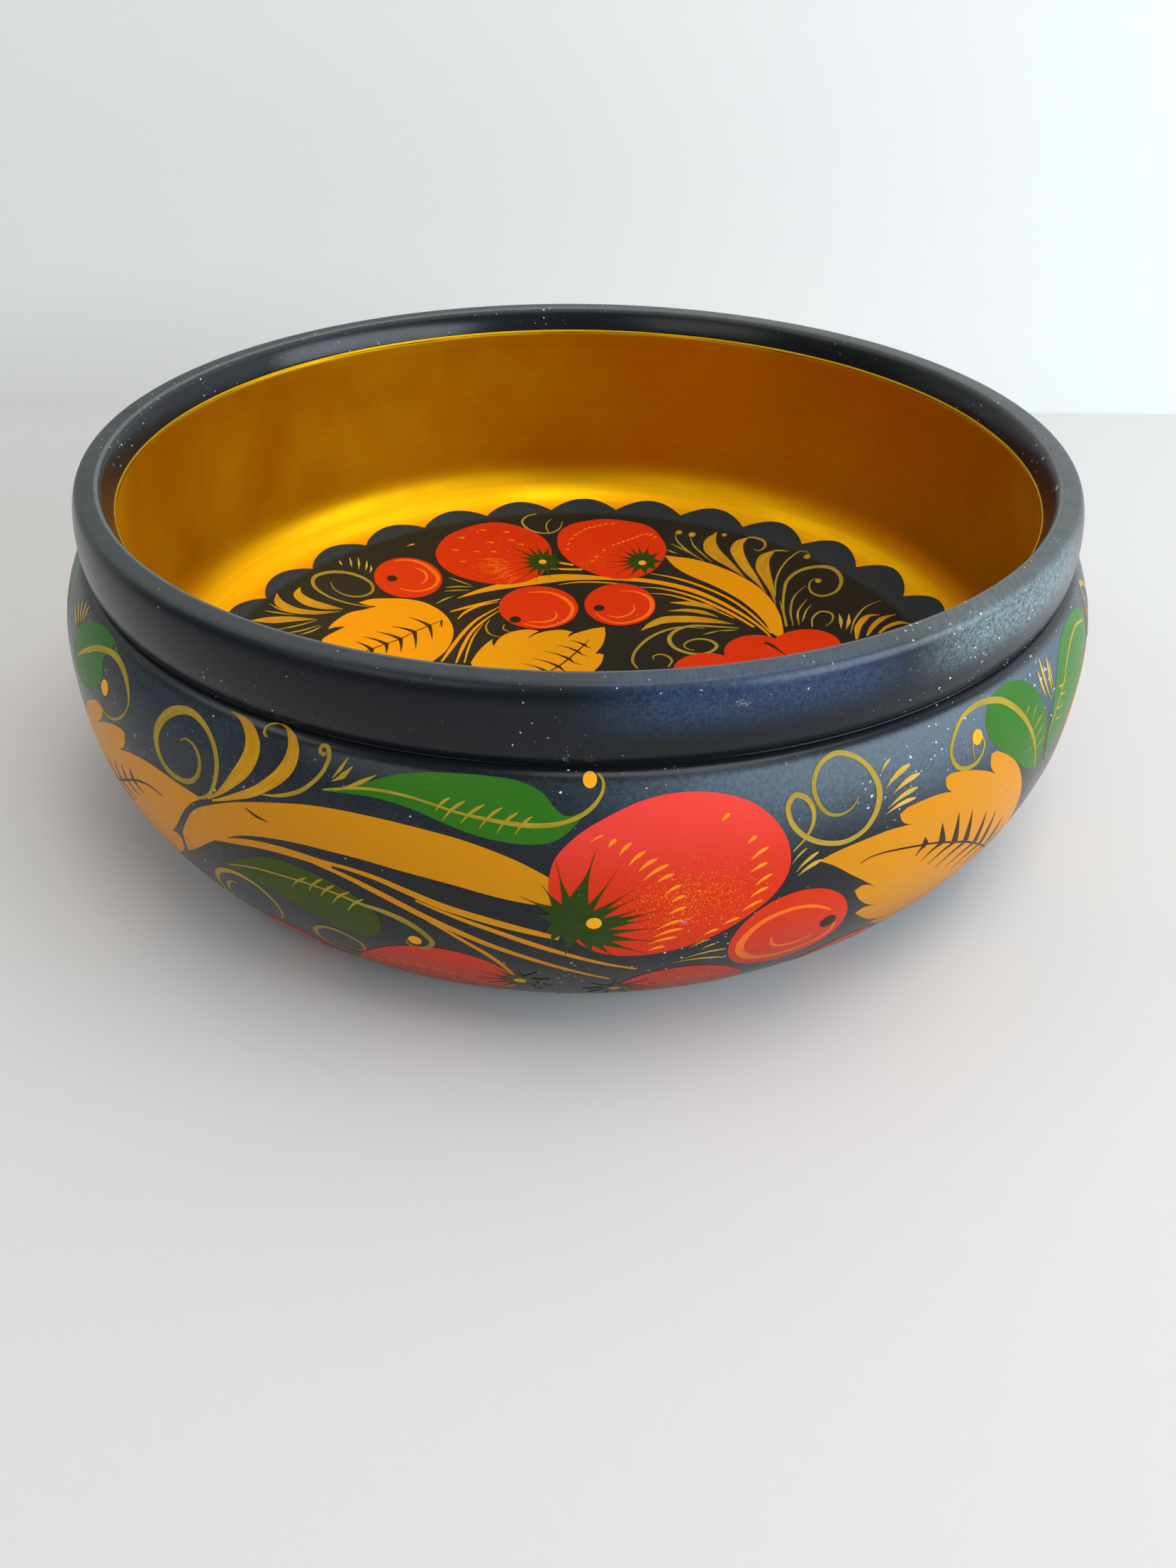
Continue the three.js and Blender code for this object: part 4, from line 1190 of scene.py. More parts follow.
for i in range(7):  # grass at the foot, between the low berries
    x = -8 + 3.4 * i
    dash("grass", (x - 2, 13 + 1.2 * math.sin(i)), (x, 4.5), 1.0, 1)
    dash("grass", (86 + 4.2 * i, 14.5 - 0.3 * i), (90 + 3.6 * i, 5), 1.1, 1)
    dash("grass", (-128 + 4 * i, 15 + math.sin(2.0 * i)), (-126 + 3.6 * i, 5.5), 1.1, 1)
stroke("ochre", [(134, 29), (138, 20), (141, 12), (142.5, 6)], [2.4, 2.0, 1.4, 0.5], 0)
stroke("ochre", [(143.5, 30.5), (143, 22), (143, 14), (143, 7)], [2.4, 2.0, 1.4, 0.5], 0)
tally("curls at the ends and grass")

# %% [markdown]
# Paint for the strokes
#
# Oil paint keeps the marks of the brush, so each paint takes a fine streak that runs along its stroke. The
# strokes' own UV map holds millimetres along and across them, which makes the streaks follow every curl. Each
# stroke also carries an attribute: how far along and across it a point lies, and one random shade for the
# whole stroke, since no two dabs come out alike. Some paints thin out towards the end of a stroke.

# %% Paints


def paint(name, dark, light, rough=0.3, thin=0.0, metal=0.0, top=None, streaks=1.0):
    """A gloss oil paint between two shades, streaked along the stroke. thin lets the black show at its far
    end, top is a painted highlight where the belly faces up, and low on the belly it takes a painted brown
    shade."""
    made, tree, shader, place = material(name)
    along = put(tree, "UVMap", uv_map="along_the_stroke").outputs[0]
    streak_place = put(tree, "Mapping", {"Vector": along, "Scale": (0.11, 2.1, 1.0)}).outputs[0]
    streak = noise(tree, streak_place, 1.0, 4.0, 0.65)
    part = put(tree, "SeparateColor", {0: put(tree, "Attribute", attribute_name="stroke").outputs["Color"]})
    marks = use(tree, dust, {"Place": place, "Specks": 0.6, "Scratches": 0.4, "Film": 0.03})
    shade = plus(tree, fade(tree, streak, 0.28, 0.72, 0.1, 0.1 + 0.65 * streaks),
                 times(tree, part.outputs[2], 0.25))
    tone = mix(tree, shade, (*dark, 1), (*light, 1))
    lathe = use(tree, rings, {"Place": place})
    radius, level = lathe.outputs["Radius"], lathe.outputs["Height"]
    # Painted highlight: the paint takes the top shade where the belly faces up to the light.
    if top:
        tone = mix(tree, fade(tree, level, 0.050, 0.078, 0.0, 0.85), tone, (*top, 1))
    # Painted shade: darker and browner low on the belly, above the foot.
    painted_low_shade = times(tree, fade(tree, level, 0.046, 0.004, 0.0, 0.62), fade(tree, radius, 0.120, 0.123))
    tone = mix(tree, painted_low_shade, tone, (0.055, 0.020, 0.003, 1))
    if thin:
        gone = fade(tree, plus(tree, part.outputs[0], times(tree, streak, 0.5)), 0.75, 1.45, 0.0, thin)
        tone = mix(tree, gone, tone, (0.012, 0.012, 0.011, 1))
    tone = mix(tree, times(tree, marks.outputs["Film"], 0.8), tone, (0.20, 0.19, 0.16, 1))
    tone = mix(tree, marks.outputs["Specks"], tone, (0.62, 0.60, 0.55, 1))
    tree.links.new(tone, shader.inputs["Base Color"])
    gloss = plus(tree, fade(tree, streak, 0.3, 0.7, rough + 0.05, rough - 0.04),
                 times(tree, marks.outputs["Film"], 0.3))
    tree.links.new(gloss, shader.inputs["Roughness"])
    relief = plus(tree, streak, times(tree, noise(tree, place, 300.0, 3.0), 0.3))
    emboss(tree, shader, relief, 0.28, 0.00012)
    shader.inputs["Metallic"].default_value = metal
    shader.inputs["Specular IOR Level"].default_value = 0.12
    shader.inputs["Specular Tint"].default_value = (1.0, 0.82, 0.6, 1)
    return made


paints = {
    "ochre": paint("ochre_paint", (0.60, 0.22, 0.002), (0.78, 0.32, 0.004), 0.32, streaks=0.35),
    "gold": paint("leaf_gold_paint", (0.86, 0.34, 0.003), (0.98, 0.44, 0.006), 0.32, metal=0.35, streaks=0.5),
    "plume": paint("streaked_ochre_paint", (0.38, 0.165, 0.004), (0.74, 0.37, 0.014), 0.32, thin=0.5),
    # The red's top shade is a painted highlight, pinker where the belly faces up.
    "red": paint("berry_red_paint", (0.60, 0.020, 0.002), (0.80, 0.042, 0.003), 0.28,
                 top=(0.84, 0.060, 0.050), streaks=0.5),
    "berry_ring": paint("berry_ring_paint", (0.85, 0.11, 0.004), (1.0, 0.22, 0.008), 0.3),
    "green": paint("leaf_green_paint", (0.020, 0.125, 0.008), (0.045, 0.19, 0.016), 0.3, streaks=0.5),
    "dark_green": paint("shade_green_paint", (0.034, 0.062, 0.002), (0.058, 0.090, 0.004), 0.32, streaks=0.5),
    "star": paint("star_green_paint", (0.012, 0.036, 0.003), (0.030, 0.066, 0.006), 0.32),
    "olive": paint("olive_line_paint", (0.26, 0.165, 0.014), (0.48, 0.33, 0.040), 0.36, thin=0.35),
    "grass": paint("grass_paint", (0.42, 0.25, 0.030), (0.72, 0.48, 0.09), 0.36, thin=0.6),
    "yellow_line": paint("yellow_line_paint", (0.26, 0.18, 0.012), (0.48, 0.34, 0.026), 0.34),
    "seed": paint("seed_paint", (0.92, 0.20, 0.006), (1.0, 0.34, 0.014), 0.34),
    "glow": paint("golden_speck_paint", (0.85, 0.16, 0.005), (1.0, 0.34, 0.02), 0.4),
    "dot": paint("orange_dot_paint", (0.90, 0.34, 0.006), (0.98, 0.43, 0.012), 0.32),
    "dark": paint("vein_paint", (0.020, 0.007, 0.002), (0.045, 0.014, 0.004), 0.34),
    "black": paint("black_dot_paint", (0.012, 0.008, 0.006), (0.024, 0.014, 0.009), 0.32),
}
print(len(paints), "paints")

# %% Laying the strokes on a surface


def painted(surface, prefix):
    """Makes one piece for each colour that is on the paper, with every stroke closed at its rim and back."""
    for colour in sorted(paper):
        points, faces, uvs, strokes, count = [], [], [], [], 0
        for plan, sheets, rim, lift, uv, along in paper[colour]:
            size = len(plan)
            points += [surface(plan, lift), surface(plan, -film_back)]
            after = np.roll(rim, -1)
            wall = np.stack([rim + size, after + size, after, rim], -1)
            faces += [f + count for f in sheets]
            faces += [f[:, ::-1] + size + count for f in sheets]
            faces += [wall + count]
            uvs += [uv, uv]
            strokes += [along, along]
            count += 2 * size
        piece = mesh_piece(prefix + "_" + colour, np.vstack(points), faces, paints[colour],
                           uv=np.vstack(uvs), stroke=np.vstack(strokes))
        piece.data.set_sharp_from_angle(angle=math.radians(45))
    paper.clear()


print("colours on the belly:", sorted(paper))

# %% Three bunches round the belly
bunches = 3
to_the_right, to_the_left = 1, 2  # thirds of the girth on from the bunch at the front
once = {colour: list(strokes) for colour, strokes in paper.items()}
for turn in (to_the_right, to_the_left):
    for colour, strokes in once.items():
        for plan, sheets, rim, lift, uv, along in strokes:
            a, s = plan[:, 0], plan[:, 1]
            if turn == to_the_left and 128 < a.mean() < 176 and s.mean() > 60:
                continue  # another leaf lies there, at the photograph's left edge
            if turn == to_the_right and -158 < a.mean() < -118 and s.mean() > 69:  # a narrower curl
                plan = np.c_[np.where(a < -128, -128 + 0.25 * (a + 128), a), s]
                a = plan[:, 0]
            # the hand wavers by a millimetre or two, and less near the foot
            hand = np.c_[1.1 * np.sin(a / 31 + 2 * turn) + 0.5 * np.sin(s / 9 + turn),
                         0.6 * np.sin(a / 23 + turn)]
            moved = plan + hand * np.minimum(s / 60, 1)[:, None] + (turn * girth / bunches, 0)
            moved[:, 1] = np.minimum(moved[:, 1], belly_arc[-1] - 0.3)  # below the crease
            paper[colour].append((moved, sheets, rim, lift, uv, along))
lobed("green", [  # at the photograph's left edge, in place of the leaf left out above
    [(-157.2, 68.9), (-161.4, 71.3), (-162.6, 75.2), (-160.4, 80), (-155.6, 84.6), (-148.8, 87.8),
     (-141.2, 89.2), (-134.4, 88.7), (-129.6, 87.2)],
    [(-129.6, 87.2), (-133.4, 85.8), (-137, 83.2), (-135.6, 79.4), (-137.4, 75.8), (-142, 72.3),
     (-149.2, 69.6), (-157.2, 68.9)],
])
for head, tail in (
    ((-168, 83.4), (-160.4, 81.2)), ((-166, 85.8), (-159.4, 82)), ((-163.4, 87.6), (-158.2, 82.8)),
    ((-160, 88.6), (-157, 83.4)), ((-157, 88.8), (-156, 84)),
):
    dash("grass", head, tail, 0.8, 1)
painted(belly_point, "outside")

# %% [markdown]
# The roundel's ornament
#
# The same motifs lie on the roundel: two strawberries side by side at the far edge, round berries below them,
# and gold leaves that fold round the bunch. The photograph shows the far half of the roundel. The near half
# carries the same bunch turned half way round, as such roundels are often painted, so that it reads from both
# sides.

# %% Roundel: gold leaves
lobed("gold", [  # the left one
    [(-88.4, 24.2), (-87.2, 26.8), (-84.9, 30.1), (-82.1, 34.1)],
    [(-82.1, 34.1), (-85, 33), (-87.6, 31)],
    [(-87.6, 31), (-87.1, 33.7), (-85.3, 38), (-81.9, 43.2), (-77.4, 46.2), (-73.2, 49.3)],
    [(-73.2, 49.3), (-76.6, 49.3), (-79.8, 50.2)],
    [(-79.8, 50.2), (-76.6, 53), (-70.1, 55.2), (-63.4, 56.1), (-57.2, 55.1), (-51.8, 51.6), (-47.4, 45.9),
     (-44.8, 38.3), (-44.8, 30.4), (-46.6, 23.2), (-49.6, 17.6), (-54, 11), (-59.5, 5.5)],
    [(-59.5, 5.5), (-66, 4.6), (-73, 5.6), (-80, 9), (-85.2, 14), (-88, 19), (-88.4, 24.2)],
])
lobed("gold", [  # the middle one
    [(-37, 17.5), (-35.2, 24), (-32.4, 30.4), (-30.4, 33.4)],
    [(-30.4, 33.4), (-30.6, 31), (-29.9, 28.4)],
    [(-29.9, 28.4), (-28.6, 33), (-26.6, 36.4), (-22, 39.5), (-17.6, 40.4), (-14.4, 39.6)],
    [(-14.4, 39.6), (-16.8, 37), (-18.4, 33.6)],
    [(-18.4, 33.6), (-16, 36.9), (-12.6, 39.1), (-8.2, 40.4), (-5, 40.4), (-2.4, 39.2)],
    [(-2.4, 39.2), (-3.6, 37.6), (-3.9, 35.4)],
    [(-3.9, 35.4), (-2.6, 37.2), (0.6, 39.4), (4.6, 41.5), (9.2, 42.7)],
    [(9.2, 42.7), (9.3, 37), (8, 30), (5.6, 24.4)],
    [(5.6, 24.4), (7, 24.7), (8.6, 24)],
    [(8.6, 24), (7.8, 19), (5, 13), (0, 8), (-6, 5.2), (-14, 4.2)],
    [(-14, 4.2), (-24, 5), (-31, 8), (-35.6, 12), (-37, 17.5)],
])
leaf("gold", [(33.4, 90.2), (39.1, 88.6), (44.4, 86.7), (49.7, 83.5), (56.4, 78.1), (62.9, 70.9),
              (67.4, 63.9), (70.7, 55), (72.3, 46.2), (72.3, 37), (71.6, 30)],
     [(33.2, 90), (35.6, 84.4), (38.6, 79.8), (43.7, 74.6), (49.5, 69.4), (55.2, 63.2), (60.6, 55.6),
      (64.1, 48.6), (66.7, 41.2), (68.2, 34.6), (71.4, 30)])
leaf("gold", [(-45.2, 59.5), (-38, 66), (-30, 70.9), (-22, 74.5), (-14, 77.3), (-6, 78.7), (2, 78.4),
              (10, 77.2), (20, 76.4), (28, 74.5), (36, 71.3), (44, 66.4), (52, 58.7), (58, 51), (63, 43.2),
              (67, 34.5), (68, 30)],
     [(-45.2, 59.3), (-36, 64.4), (-28, 67.6), (-20, 70.2), (-12, 72.6), (-4, 74.5), (4, 75.1), (12, 74.8),
      (20, 73.8), (28, 71.9), (36, 68.5), (44, 63.4), (51, 57), (58, 48.6), (63, 41), (66.4, 34),
      (67.9, 29.9)])
for points, widths in (
    ([(-46.9, 50.2), (-41, 53.8), (-35, 57.4), (-29.4, 60.4)], [0.6, 1.5, 1.2, 0.6]),
    ([(-43.8, 45.5), (-42, 49.6), (-38, 54.2), (-30, 58.6)], [0.4, 1.2, 0.9, 0.3]),
    ([(23, 69.8), (30, 68.6), (36, 66), (44, 60.8), (51, 54), (57, 47), (62.4, 39.4)],
     [0.3, 1.1, 1.4, 1.4, 1.0]),
    ([(27, 65.2), (32, 64.4), (38, 61.6), (44.4, 57.2), (50, 52), (56, 46)], [0.3, 0.9, 1.1, 0.9, 0.4]),
    ([(-8, 71.4), (-3, 73), (4, 73.6), (12, 72.8), (20, 71)], [0.2, 0.8, 0.9, 0.7, 0.3]),
    ([(27, 78.6), (33, 76.6), (38.3, 73.9), (46.7, 67.9), (54.9, 59.8), (60.2, 52), (64.4, 43.6),
      (67.9, 34.5)], [0.3, 1.2, 1.2, 1.1, 1.0, 0.6]),
    ([(-47, 17), (-44.2, 27), (-41.4, 36), (-37, 45.8), (-29.6, 55)], [0.8, 1.5, 1.4, 1.1, 0.4]),
    ([(-42, 16.6), (-40.6, 27), (-38, 38), (-34, 46), (-28.6, 53.6)], [0.7, 1.3, 1.2, 0.9, 0.3]),
    ([(-39.2, 17), (-38.6, 26), (-37.2, 35), (-34.6, 43)], [0.5, 0.8, 0.7, 0.2]),
    ([(-10.5, 87), (-7, 86.2), (-2.4, 84.9)], [1.0, 1.3, 1.2]),
    ([(-12, 82.4), (-6, 82.1), (1, 82)], [1.0, 1.3, 1.3]),
):
    stroke("gold", points, widths, 0)
tally("gold leaves")

# %% Roundel: strawberries and berries
blob("red", [(-55.6, 87.8), (-54.8, 93.4), (-52, 99.5), (-47.5, 104), (-41, 108.3), (-34.5, 110.6),
             (-27, 110), (-20, 106.9), (-15, 103), (-11.9, 98), (-11, 91.5), (-12.2, 84), (-15, 77.6),
             (-20, 73.2), (-27, 70.6), (-35, 70.7), (-42, 72.5), (-48.6, 75.8), (-53.2, 80.6)], 1, 20)
blob("red", [(-8.9, 100.5), (-7.8, 107), (-3.6, 111.4), (2, 113.5), (8, 114.8), (14, 114.5), (20, 113),
             (25.6, 110.9), (29.8, 107), (32.2, 101.8), (33.7, 97), (33.6, 91.6), (31.6, 86), (27.4, 79.8),
             (21, 76), (15, 75.5), (9, 77.4), (4, 80.3), (-0.6, 84), (-5, 89), (-7.8, 94.4)], 1.2, 20)
berries = [((-64.2, 69.8), 12.6, 1.03), ((-15, 55.5), 14.6, 1.0), ((15, 58), 13.1, 1.1),
           ((61, 23.6), 10.7, 1.0), ((78, 22.8), 12.3, 1.0), ((43.5, 12.5), 11.6, 1.0)]
for i, (middle, radius, flat) in enumerate(berries):
    disc("red", middle, radius, 1 + 0.2 * (i % 3), flat)
for points in (
    [(-70.4, 79.6), (-67, 81), (-62.6, 81), (-56.4, 77), (-53.2, 71), (-55, 65), (-60, 61.8), (-66.4, 62.2)],
    [(-19.4, 65.6), (-12, 66.1), (-5.6, 62), (-2.6, 56), (-3.6, 49.4), (-8, 44.2), (-14, 42.1), (-20, 44.4)],
    [(15, 67.4), (21, 66.6), (26, 62), (26.8, 57), (25, 51), (20, 46.6), (14, 45.2), (8.6, 48.4), (6, 52.4)],
):
    stroke("berry_ring", points, [0.4, 1.2, 1.7, 1.3, 0.9, 0.5], 2.2)
for points in (
    [(-62.6, 77.2), (-58.6, 74.6), (-57.4, 70.6), (-59, 66.8)],
    [(-9, 53.4), (-8.2, 50), (-9.6, 47.2), (-13, 45.6), (-18.2, 45.6)],
    [(20, 58.4), (20.2, 54.6), (18, 51), (14, 49.2), (10.2, 50.6)],
):
    stroke("berry_ring", points, [0.3, 0.9, 1.0, 0.4], 2.2)
stroke("dark", [(64.8, 28.8), (66.4, 27.6), (68, 25.2), (71, 19.6)], [1.4, 1.5, 0.7, 0.3], 2.4)
for middle, radius in (((-70, 68.3), 1.9), ((-23.2, 46.8), 2.1), ((7.3, 55.6), 2.0), ((47.6, 6), 1.8)):
    disc("black", middle, radius, 4)
tally("strawberries and berries")

# %% Roundel: the strawberries' leaves, seeds and glow
star((-14, 86.5), [(-28.5, 97), (-26.4, 90.6), (-25.4, 85), (-24.8, 80), (-21.6, 75.6), (-16.6, 73.4),
                   (-11, 75.2), (-6.6, 80.6), (-5.2, 87.4), (-7.2, 94.4), (-11.6, 99.6), (-17.6, 100),
                   (-22.4, 99.4)], 5.0, 4)
star((24.4, 87), [(15, 96.4), (11.6, 91.8), (9.8, 87.2), (11, 82.8), (13.4, 79), (18, 75.4), (25.6, 75.2),
                  (31, 79.6), (33.8, 86.4), (32, 93.2), (27.4, 98.6), (22.6, 100), (17.8, 100.4)], 4.8, 4)
disc("dot", (-14.3, 86.5), 1.5, 5)
disc("dot", (24.2, 85.8), 1.5, 5)
for x, y in ((-29.2, 104.7), (-46.5, 98.7), (-35.2, 97.4), (-23.2, 97.3), (-40, 90.7), (-33.6, 91.4),
             (-48.4, 90.6), (-45, 83.6), (-38.6, 104.8), (-27, 99.6)):
    dash("seed", (x + 1.4, y + 0.2), (x - 1.4, y + 0.1), 0.6, 2.4)
for x, y in (
    (-4.9, 95.1), (-4.5, 98.5), (-3.3, 102), (-1.7, 104.4), (0, 106.3), (1.9, 108.1), (3.7, 109.2),
    (5.8, 109.8), (7.9, 110.6), (10.4, 111.4), (13.1, 111.6), (13.1, 97.9), (15.2, 98.9), (17, 99.8),
    (19, 100.9), (20.9, 101.9), (22.7, 102.9), (24.4, 103.9), (26.5, 104.3), (28.1, 103.7), (29.7, 102.2),
    (9.4, 94.4), (6.4, 90.2), (4.8, 87.2),
):
    dash("seed", (x + 0.8, y + 0.7), (x - 0.8, y - 0.5), 0.62, 2.4)
for i in range(17):
    bearing = math.radians(176 + 3.8 * i)
    inner, outer = 9.5 + 2.2 * math.sin(2.3 * i), 19 + 3.4 * math.sin(1.7 * i)
    way = np.array([math.cos(bearing), 0.78 * math.sin(bearing)])
    ends = np.array([(-14.2, 86.2), (-14.2, 86.2)]) + way * np.array([[inner + 6], [outer + 3]])
    stroke("seed", [tuple(ends[0]), tuple(ends.mean(0)), tuple(ends[1])], [0.05, 0.28, 0.05], 2.2)
glow = np.vstack([rng.normal(size=(260, 2)) * (4.6, 3.6) + (-33, 81),
                  rng.normal(size=(120, 2)) * (4, 3.6) + (6, 88)])
for x, y in glow:
    disc("glow", (x, y), 0.08 + 0.08 * rng.uniform(), 2.2, 0.9)
tally("seeds and glow")

# %% Roundel: veins
stroke("dark",
       [(-49.2, 44.2), (-54, 39.5), (-58.5, 34.9), (-62.8, 29.6), (-67.2, 25.8), (-71.5, 21.5), (-76.5, 16)],
       [0.2, 0.45, 0.4, 0.5, 0.4, 0.5, 0.3], 1)
stroke("dark", [(-49.4, 44.2), (-49.4, 42), (-49, 39.6)], [0.7, 0.8, 0.3], 1)
for x, y, up_x, up_y, down_x, down_y in (
    (-53.6, 40.3, -61.2, 44.4, -51.5, 30.9), (-58.3, 35.5, -66.7, 37.5, -56.5, 24),
    (-62.6, 30.2, -71.5, 33.2, -61.3, 21.4), (-67, 26.2, -75.4, 29.1, -66.1, 19.6),
    (-71.4, 21.9, -77.5, 25.4, -71, 14),
):
    stroke("dark", [(x, y - 0.3), ((2 * x + up_x) / 3, (2 * y + up_y) / 3 + 0.3), (up_x, up_y)],
           [1.7, 0.9, 0.1], 1)
    stroke("dark", [(x, y), ((2 * x + down_x) / 3 + 0.2, (2 * y + down_y) / 3), (down_x, down_y)],
           [1.7, 0.9, 0.1], 1)
stroke("dark", [(3.6, 34.2), (1, 29), (-2.8, 22.4), (-7, 16), (-12.6, 10)], [0.25, 0.6, 0.6, 0.6, 0.5], 1)
for x, y, up, down in ((1.8, 30.6, 4.6, 3), (-0.6, 26.2, 6.4, 4.4), (-3.6, 21.2, 7.6, 5.2),
                       (-7, 16, 8.4, 5.6), (-10.4, 12.4, 8.6, 5)):
    stroke("dark", [(x, y), (x - 0.6 * up, y + 0.42 * up), (x - 1.14 * up, y + 0.62 * up)], [1.3, 0.5, 0.1],
           1)
    stroke("dark", [(x, y), (x + 0.36 * down, y - 0.5 * down), (x + 0.9 * down, y - 0.8 * down)],
           [1.3, 0.5, 0.1], 1)
tally("veins")

# %% Roundel: crescents, plumes and curls
leaf("plume", [(-101.1, 53.9), (-100, 50.6), (-96, 47.9), (-90, 46.2), (-84.6, 44.9)],
     [(-101.3, 53.8), (-102.6, 48.6), (-99, 44.2), (-92, 42.8), (-84.6, 44.5)], 1, 4)
leaf("plume", [(-108.1, 47.6), (-105.4, 43.6), (-101, 41.2), (-94, 41), (-85.2, 43.2)],
     [(-108.2, 47.4), (-107.6, 41), (-103, 37.6), (-94.5, 38.4), (-85.2, 42.9)], 1, 4)
leaf("plume", [(-112.8, 28.3), (-109, 31.4), (-103.8, 34), (-97, 35.6), (-92.2, 36)],
     [(-112.6, 27.9), (-107, 28.6), (-102, 31), (-97, 33.6), (-92.2, 35.7)], 1, 4)
leaf("plume", [(22, 40), (25, 45), (30, 49), (36, 49.6), (44, 48.2), (50, 45.7), (55.4, 42.4)],
     [(22.1, 39.9), (26, 42.4), (31, 44.8), (38, 45), (46, 44.1), (55.3, 42.2)], 1, 4)
leaf("plume", [(54.2, 103), (49.2, 98.4), (48.4, 92.2), (51, 87), (56, 80.8), (62.5, 72)],
     [(54.3, 102.9), (53.4, 97), (54.4, 92), (57, 86), (60, 79), (62.6, 71.9)], 1, 4)
leaf("plume", [(66, 97.5), (61, 96), (58.5, 91), (59.5, 85), (62, 77), (66.6, 67), (69, 61)],
     [(66.2, 97.4), (63.9, 94), (63.5, 89), (64.5, 82), (66.7, 73), (69.1, 61)], 1, 4)
leaf("plume", [(75.4, 87.4), (69.6, 85.6), (67, 79), (68.5, 70), (70.4, 62), (71.5, 51)],
     [(75.5, 87.3), (72.6, 82), (72.1, 75), (72.3, 66), (71.6, 51)], 1, 4)
for points, widths in (
    ([(33.6, 58.7), (40, 57.6), (46, 55.6), (51.4, 50.8)], [0.3, 2.6, 2.8, 0.4]),
    ([(32.6, 53), (39, 53.1), (45, 51.2), (50.4, 47.4)], [0.3, 2.0, 2.2, 0.3]),
    ([(95.8, 24.7), (98.5, 33.8), (102.5, 37.9), (105.9, 37.4)], [0.8, 2.2, 2.6, 0.3]),
    ([(99.6, 25.9), (103, 31.7), (106.8, 35), (111.2, 35.8)], [0.8, 1.9, 2.4, 0.3]),
    ([(103.6, 26.2), (107.4, 29.5), (111.5, 30.3), (114.6, 28.3)], [0.8, 1.7, 2.0, 0.3]),
):
    stroke("plume", points, widths, 1, 3)
for points, widths in (
    ([(-75, 48.4), (-84, 49), (-92, 52), (-97, 57), (-97.5, 61), (-94, 65.5), (-87, 67.8), (-81, 66.5),
      (-76.6, 62.6), (-76, 58.6), (-79, 54.6), (-84, 53.6), (-89, 56), (-91.4, 60.4)],
     [0.5, 0.9, 1.1, 1.5, 1.6, 1.4, 1.1, 0.9, 0.5]),
    ([(-17.6, 117.4), (-21, 116), (-23.2, 112.5), (-21, 108), (-16, 105.6), (-11, 106), (-8, 109), (-7, 113)],
     [0.5, 0.9, 1.0, 0.9, 0.8, 0.4]),
    ([(-12.4, 106), (-13.4, 109), (-13, 112.5), (-11.4, 114.6)], [0.5, 0.7, 0.3]),
    ([(-32.5, 46), (-33.4, 41), (-31.6, 36.4), (-28, 34.6)], [0.3, 0.8, 0.4]),
    ([(-27, 43.4), (-27, 40), (-24.6, 38.4)], [0.3, 0.7, 0.3]),
    ([(57, 39.4), (48, 41.4), (40, 42.4), (35, 40), (32, 35), (33, 29), (37, 25), (42, 23.5), (46, 25),
      (48.2, 28.5), (46.5, 32), (42, 33.5), (38.2, 32), (36.8, 29.4), (38, 27), (40.2, 26)],
     [0.5, 1.0, 1.2, 1.6, 1.5, 1.2, 1.3, 1.0, 0.5]),
    ([(45, 40.6), (36, 41.8), (28, 38), (22, 31), (19, 24), (18.5, 19), (20, 15)], [0.3, 1.0, 1.3, 1.1, 0.8]),
    ([(30.5, 15.6), (32, 20), (30.4, 23), (28, 24), (25.6, 22.4), (26, 20.4)], [0.5, 0.9, 0.9, 0.4]),
    ([(66, 97.5), (69, 96.5), (71.8, 93.5), (71.5, 90), (69, 88.4), (67.4, 89.6)], [0.8, 1.2, 1.0, 0.4]),
    ([(75, 87.2), (77.6, 86.6), (80.4, 85.4)], [0.8, 1.0, 0.3]),
    ([(73.5, 38), (74, 50), (75.5, 60), (78, 68), (82, 72), (88, 73.5), (93.8, 71.4), (96.5, 66), (96, 60),
      (93, 55.6), (88.6, 54.6), (85.6, 57), (84.8, 61), (86, 65), (88.2, 66), (89, 64.6)],
     [0.5, 0.8, 0.9, 1.3, 1.7, 1.8, 1.4, 1.2, 0.9, 0.5]),
    ([(72, 58), (74, 70), (77, 77), (81, 82), (85, 84.4), (87, 83.4), (87.2, 81)], [0.4, 0.7, 0.8, 0.8, 0.4]),
    ([(82.4, 36), (83.5, 42), (87, 45), (90, 43), (89.5, 38), (87, 35.4)], [0.5, 0.8, 0.8, 0.4]),
):
    stroke("olive", points, widths, 1)
for middle, radius in (((39.4, 104.6), 1.3), ((44.5, 102.6), 1.4), ((57, 100.6), 1.0), ((88.6, 64.4), 1.2),
                       ((86.6, 80.4), 1.3)):
    disc("plume", middle, radius, 3)
for points in (
    [(38.2, 104.6), (38, 101), (40, 96), (44, 90), (48, 85)],
    [(43.6, 101.6), (44.5, 96), (47.5, 90), (51, 84)], [(36, 97.6), (41, 93), (46, 88)],
    [(34, 94), (36, 92.4), (38, 91)], [(74, 38), (73.4, 55)], [(76, 38), (76.4, 48), (79, 57), (83.6, 62.6)],
    [(78, 38), (79, 47), (83, 54)], [(79.5, 40), (82, 47), (84, 50)], [(44, 36.4), (50.4, 38.6)],
    [(50, 38.4), (56.4, 38.2)], [(-109.2, 40.2), (-105, 38), (-100.6, 37.2)],
    [(-109.9, 35.4), (-105, 35.8), (-100, 36.4)], [(-104, 25.4), (-97.5, 30.5), (-92.2, 35.3)],
    [(-100.6, 24.3), (-95.5, 28), (-90.9, 32.6)], [(-96, 25), (-92.5, 28.4), (-90, 32.1)],
    [(-49.1, 72.6), (-44.7, 70.5), (-40.5, 68.5)], [(-50, 66.1), (-45.3, 67.2), (-40, 67.6)],
    [(-50.2, 63.4), (-45, 64.8), (-40.8, 65.3)], [(94.5, 28.9), (97.5, 37.2), (102.7, 43.9), (108, 46)],
):
    stroke("olive", points, [0.2, 0.8, 0.7, 0.2], 1)
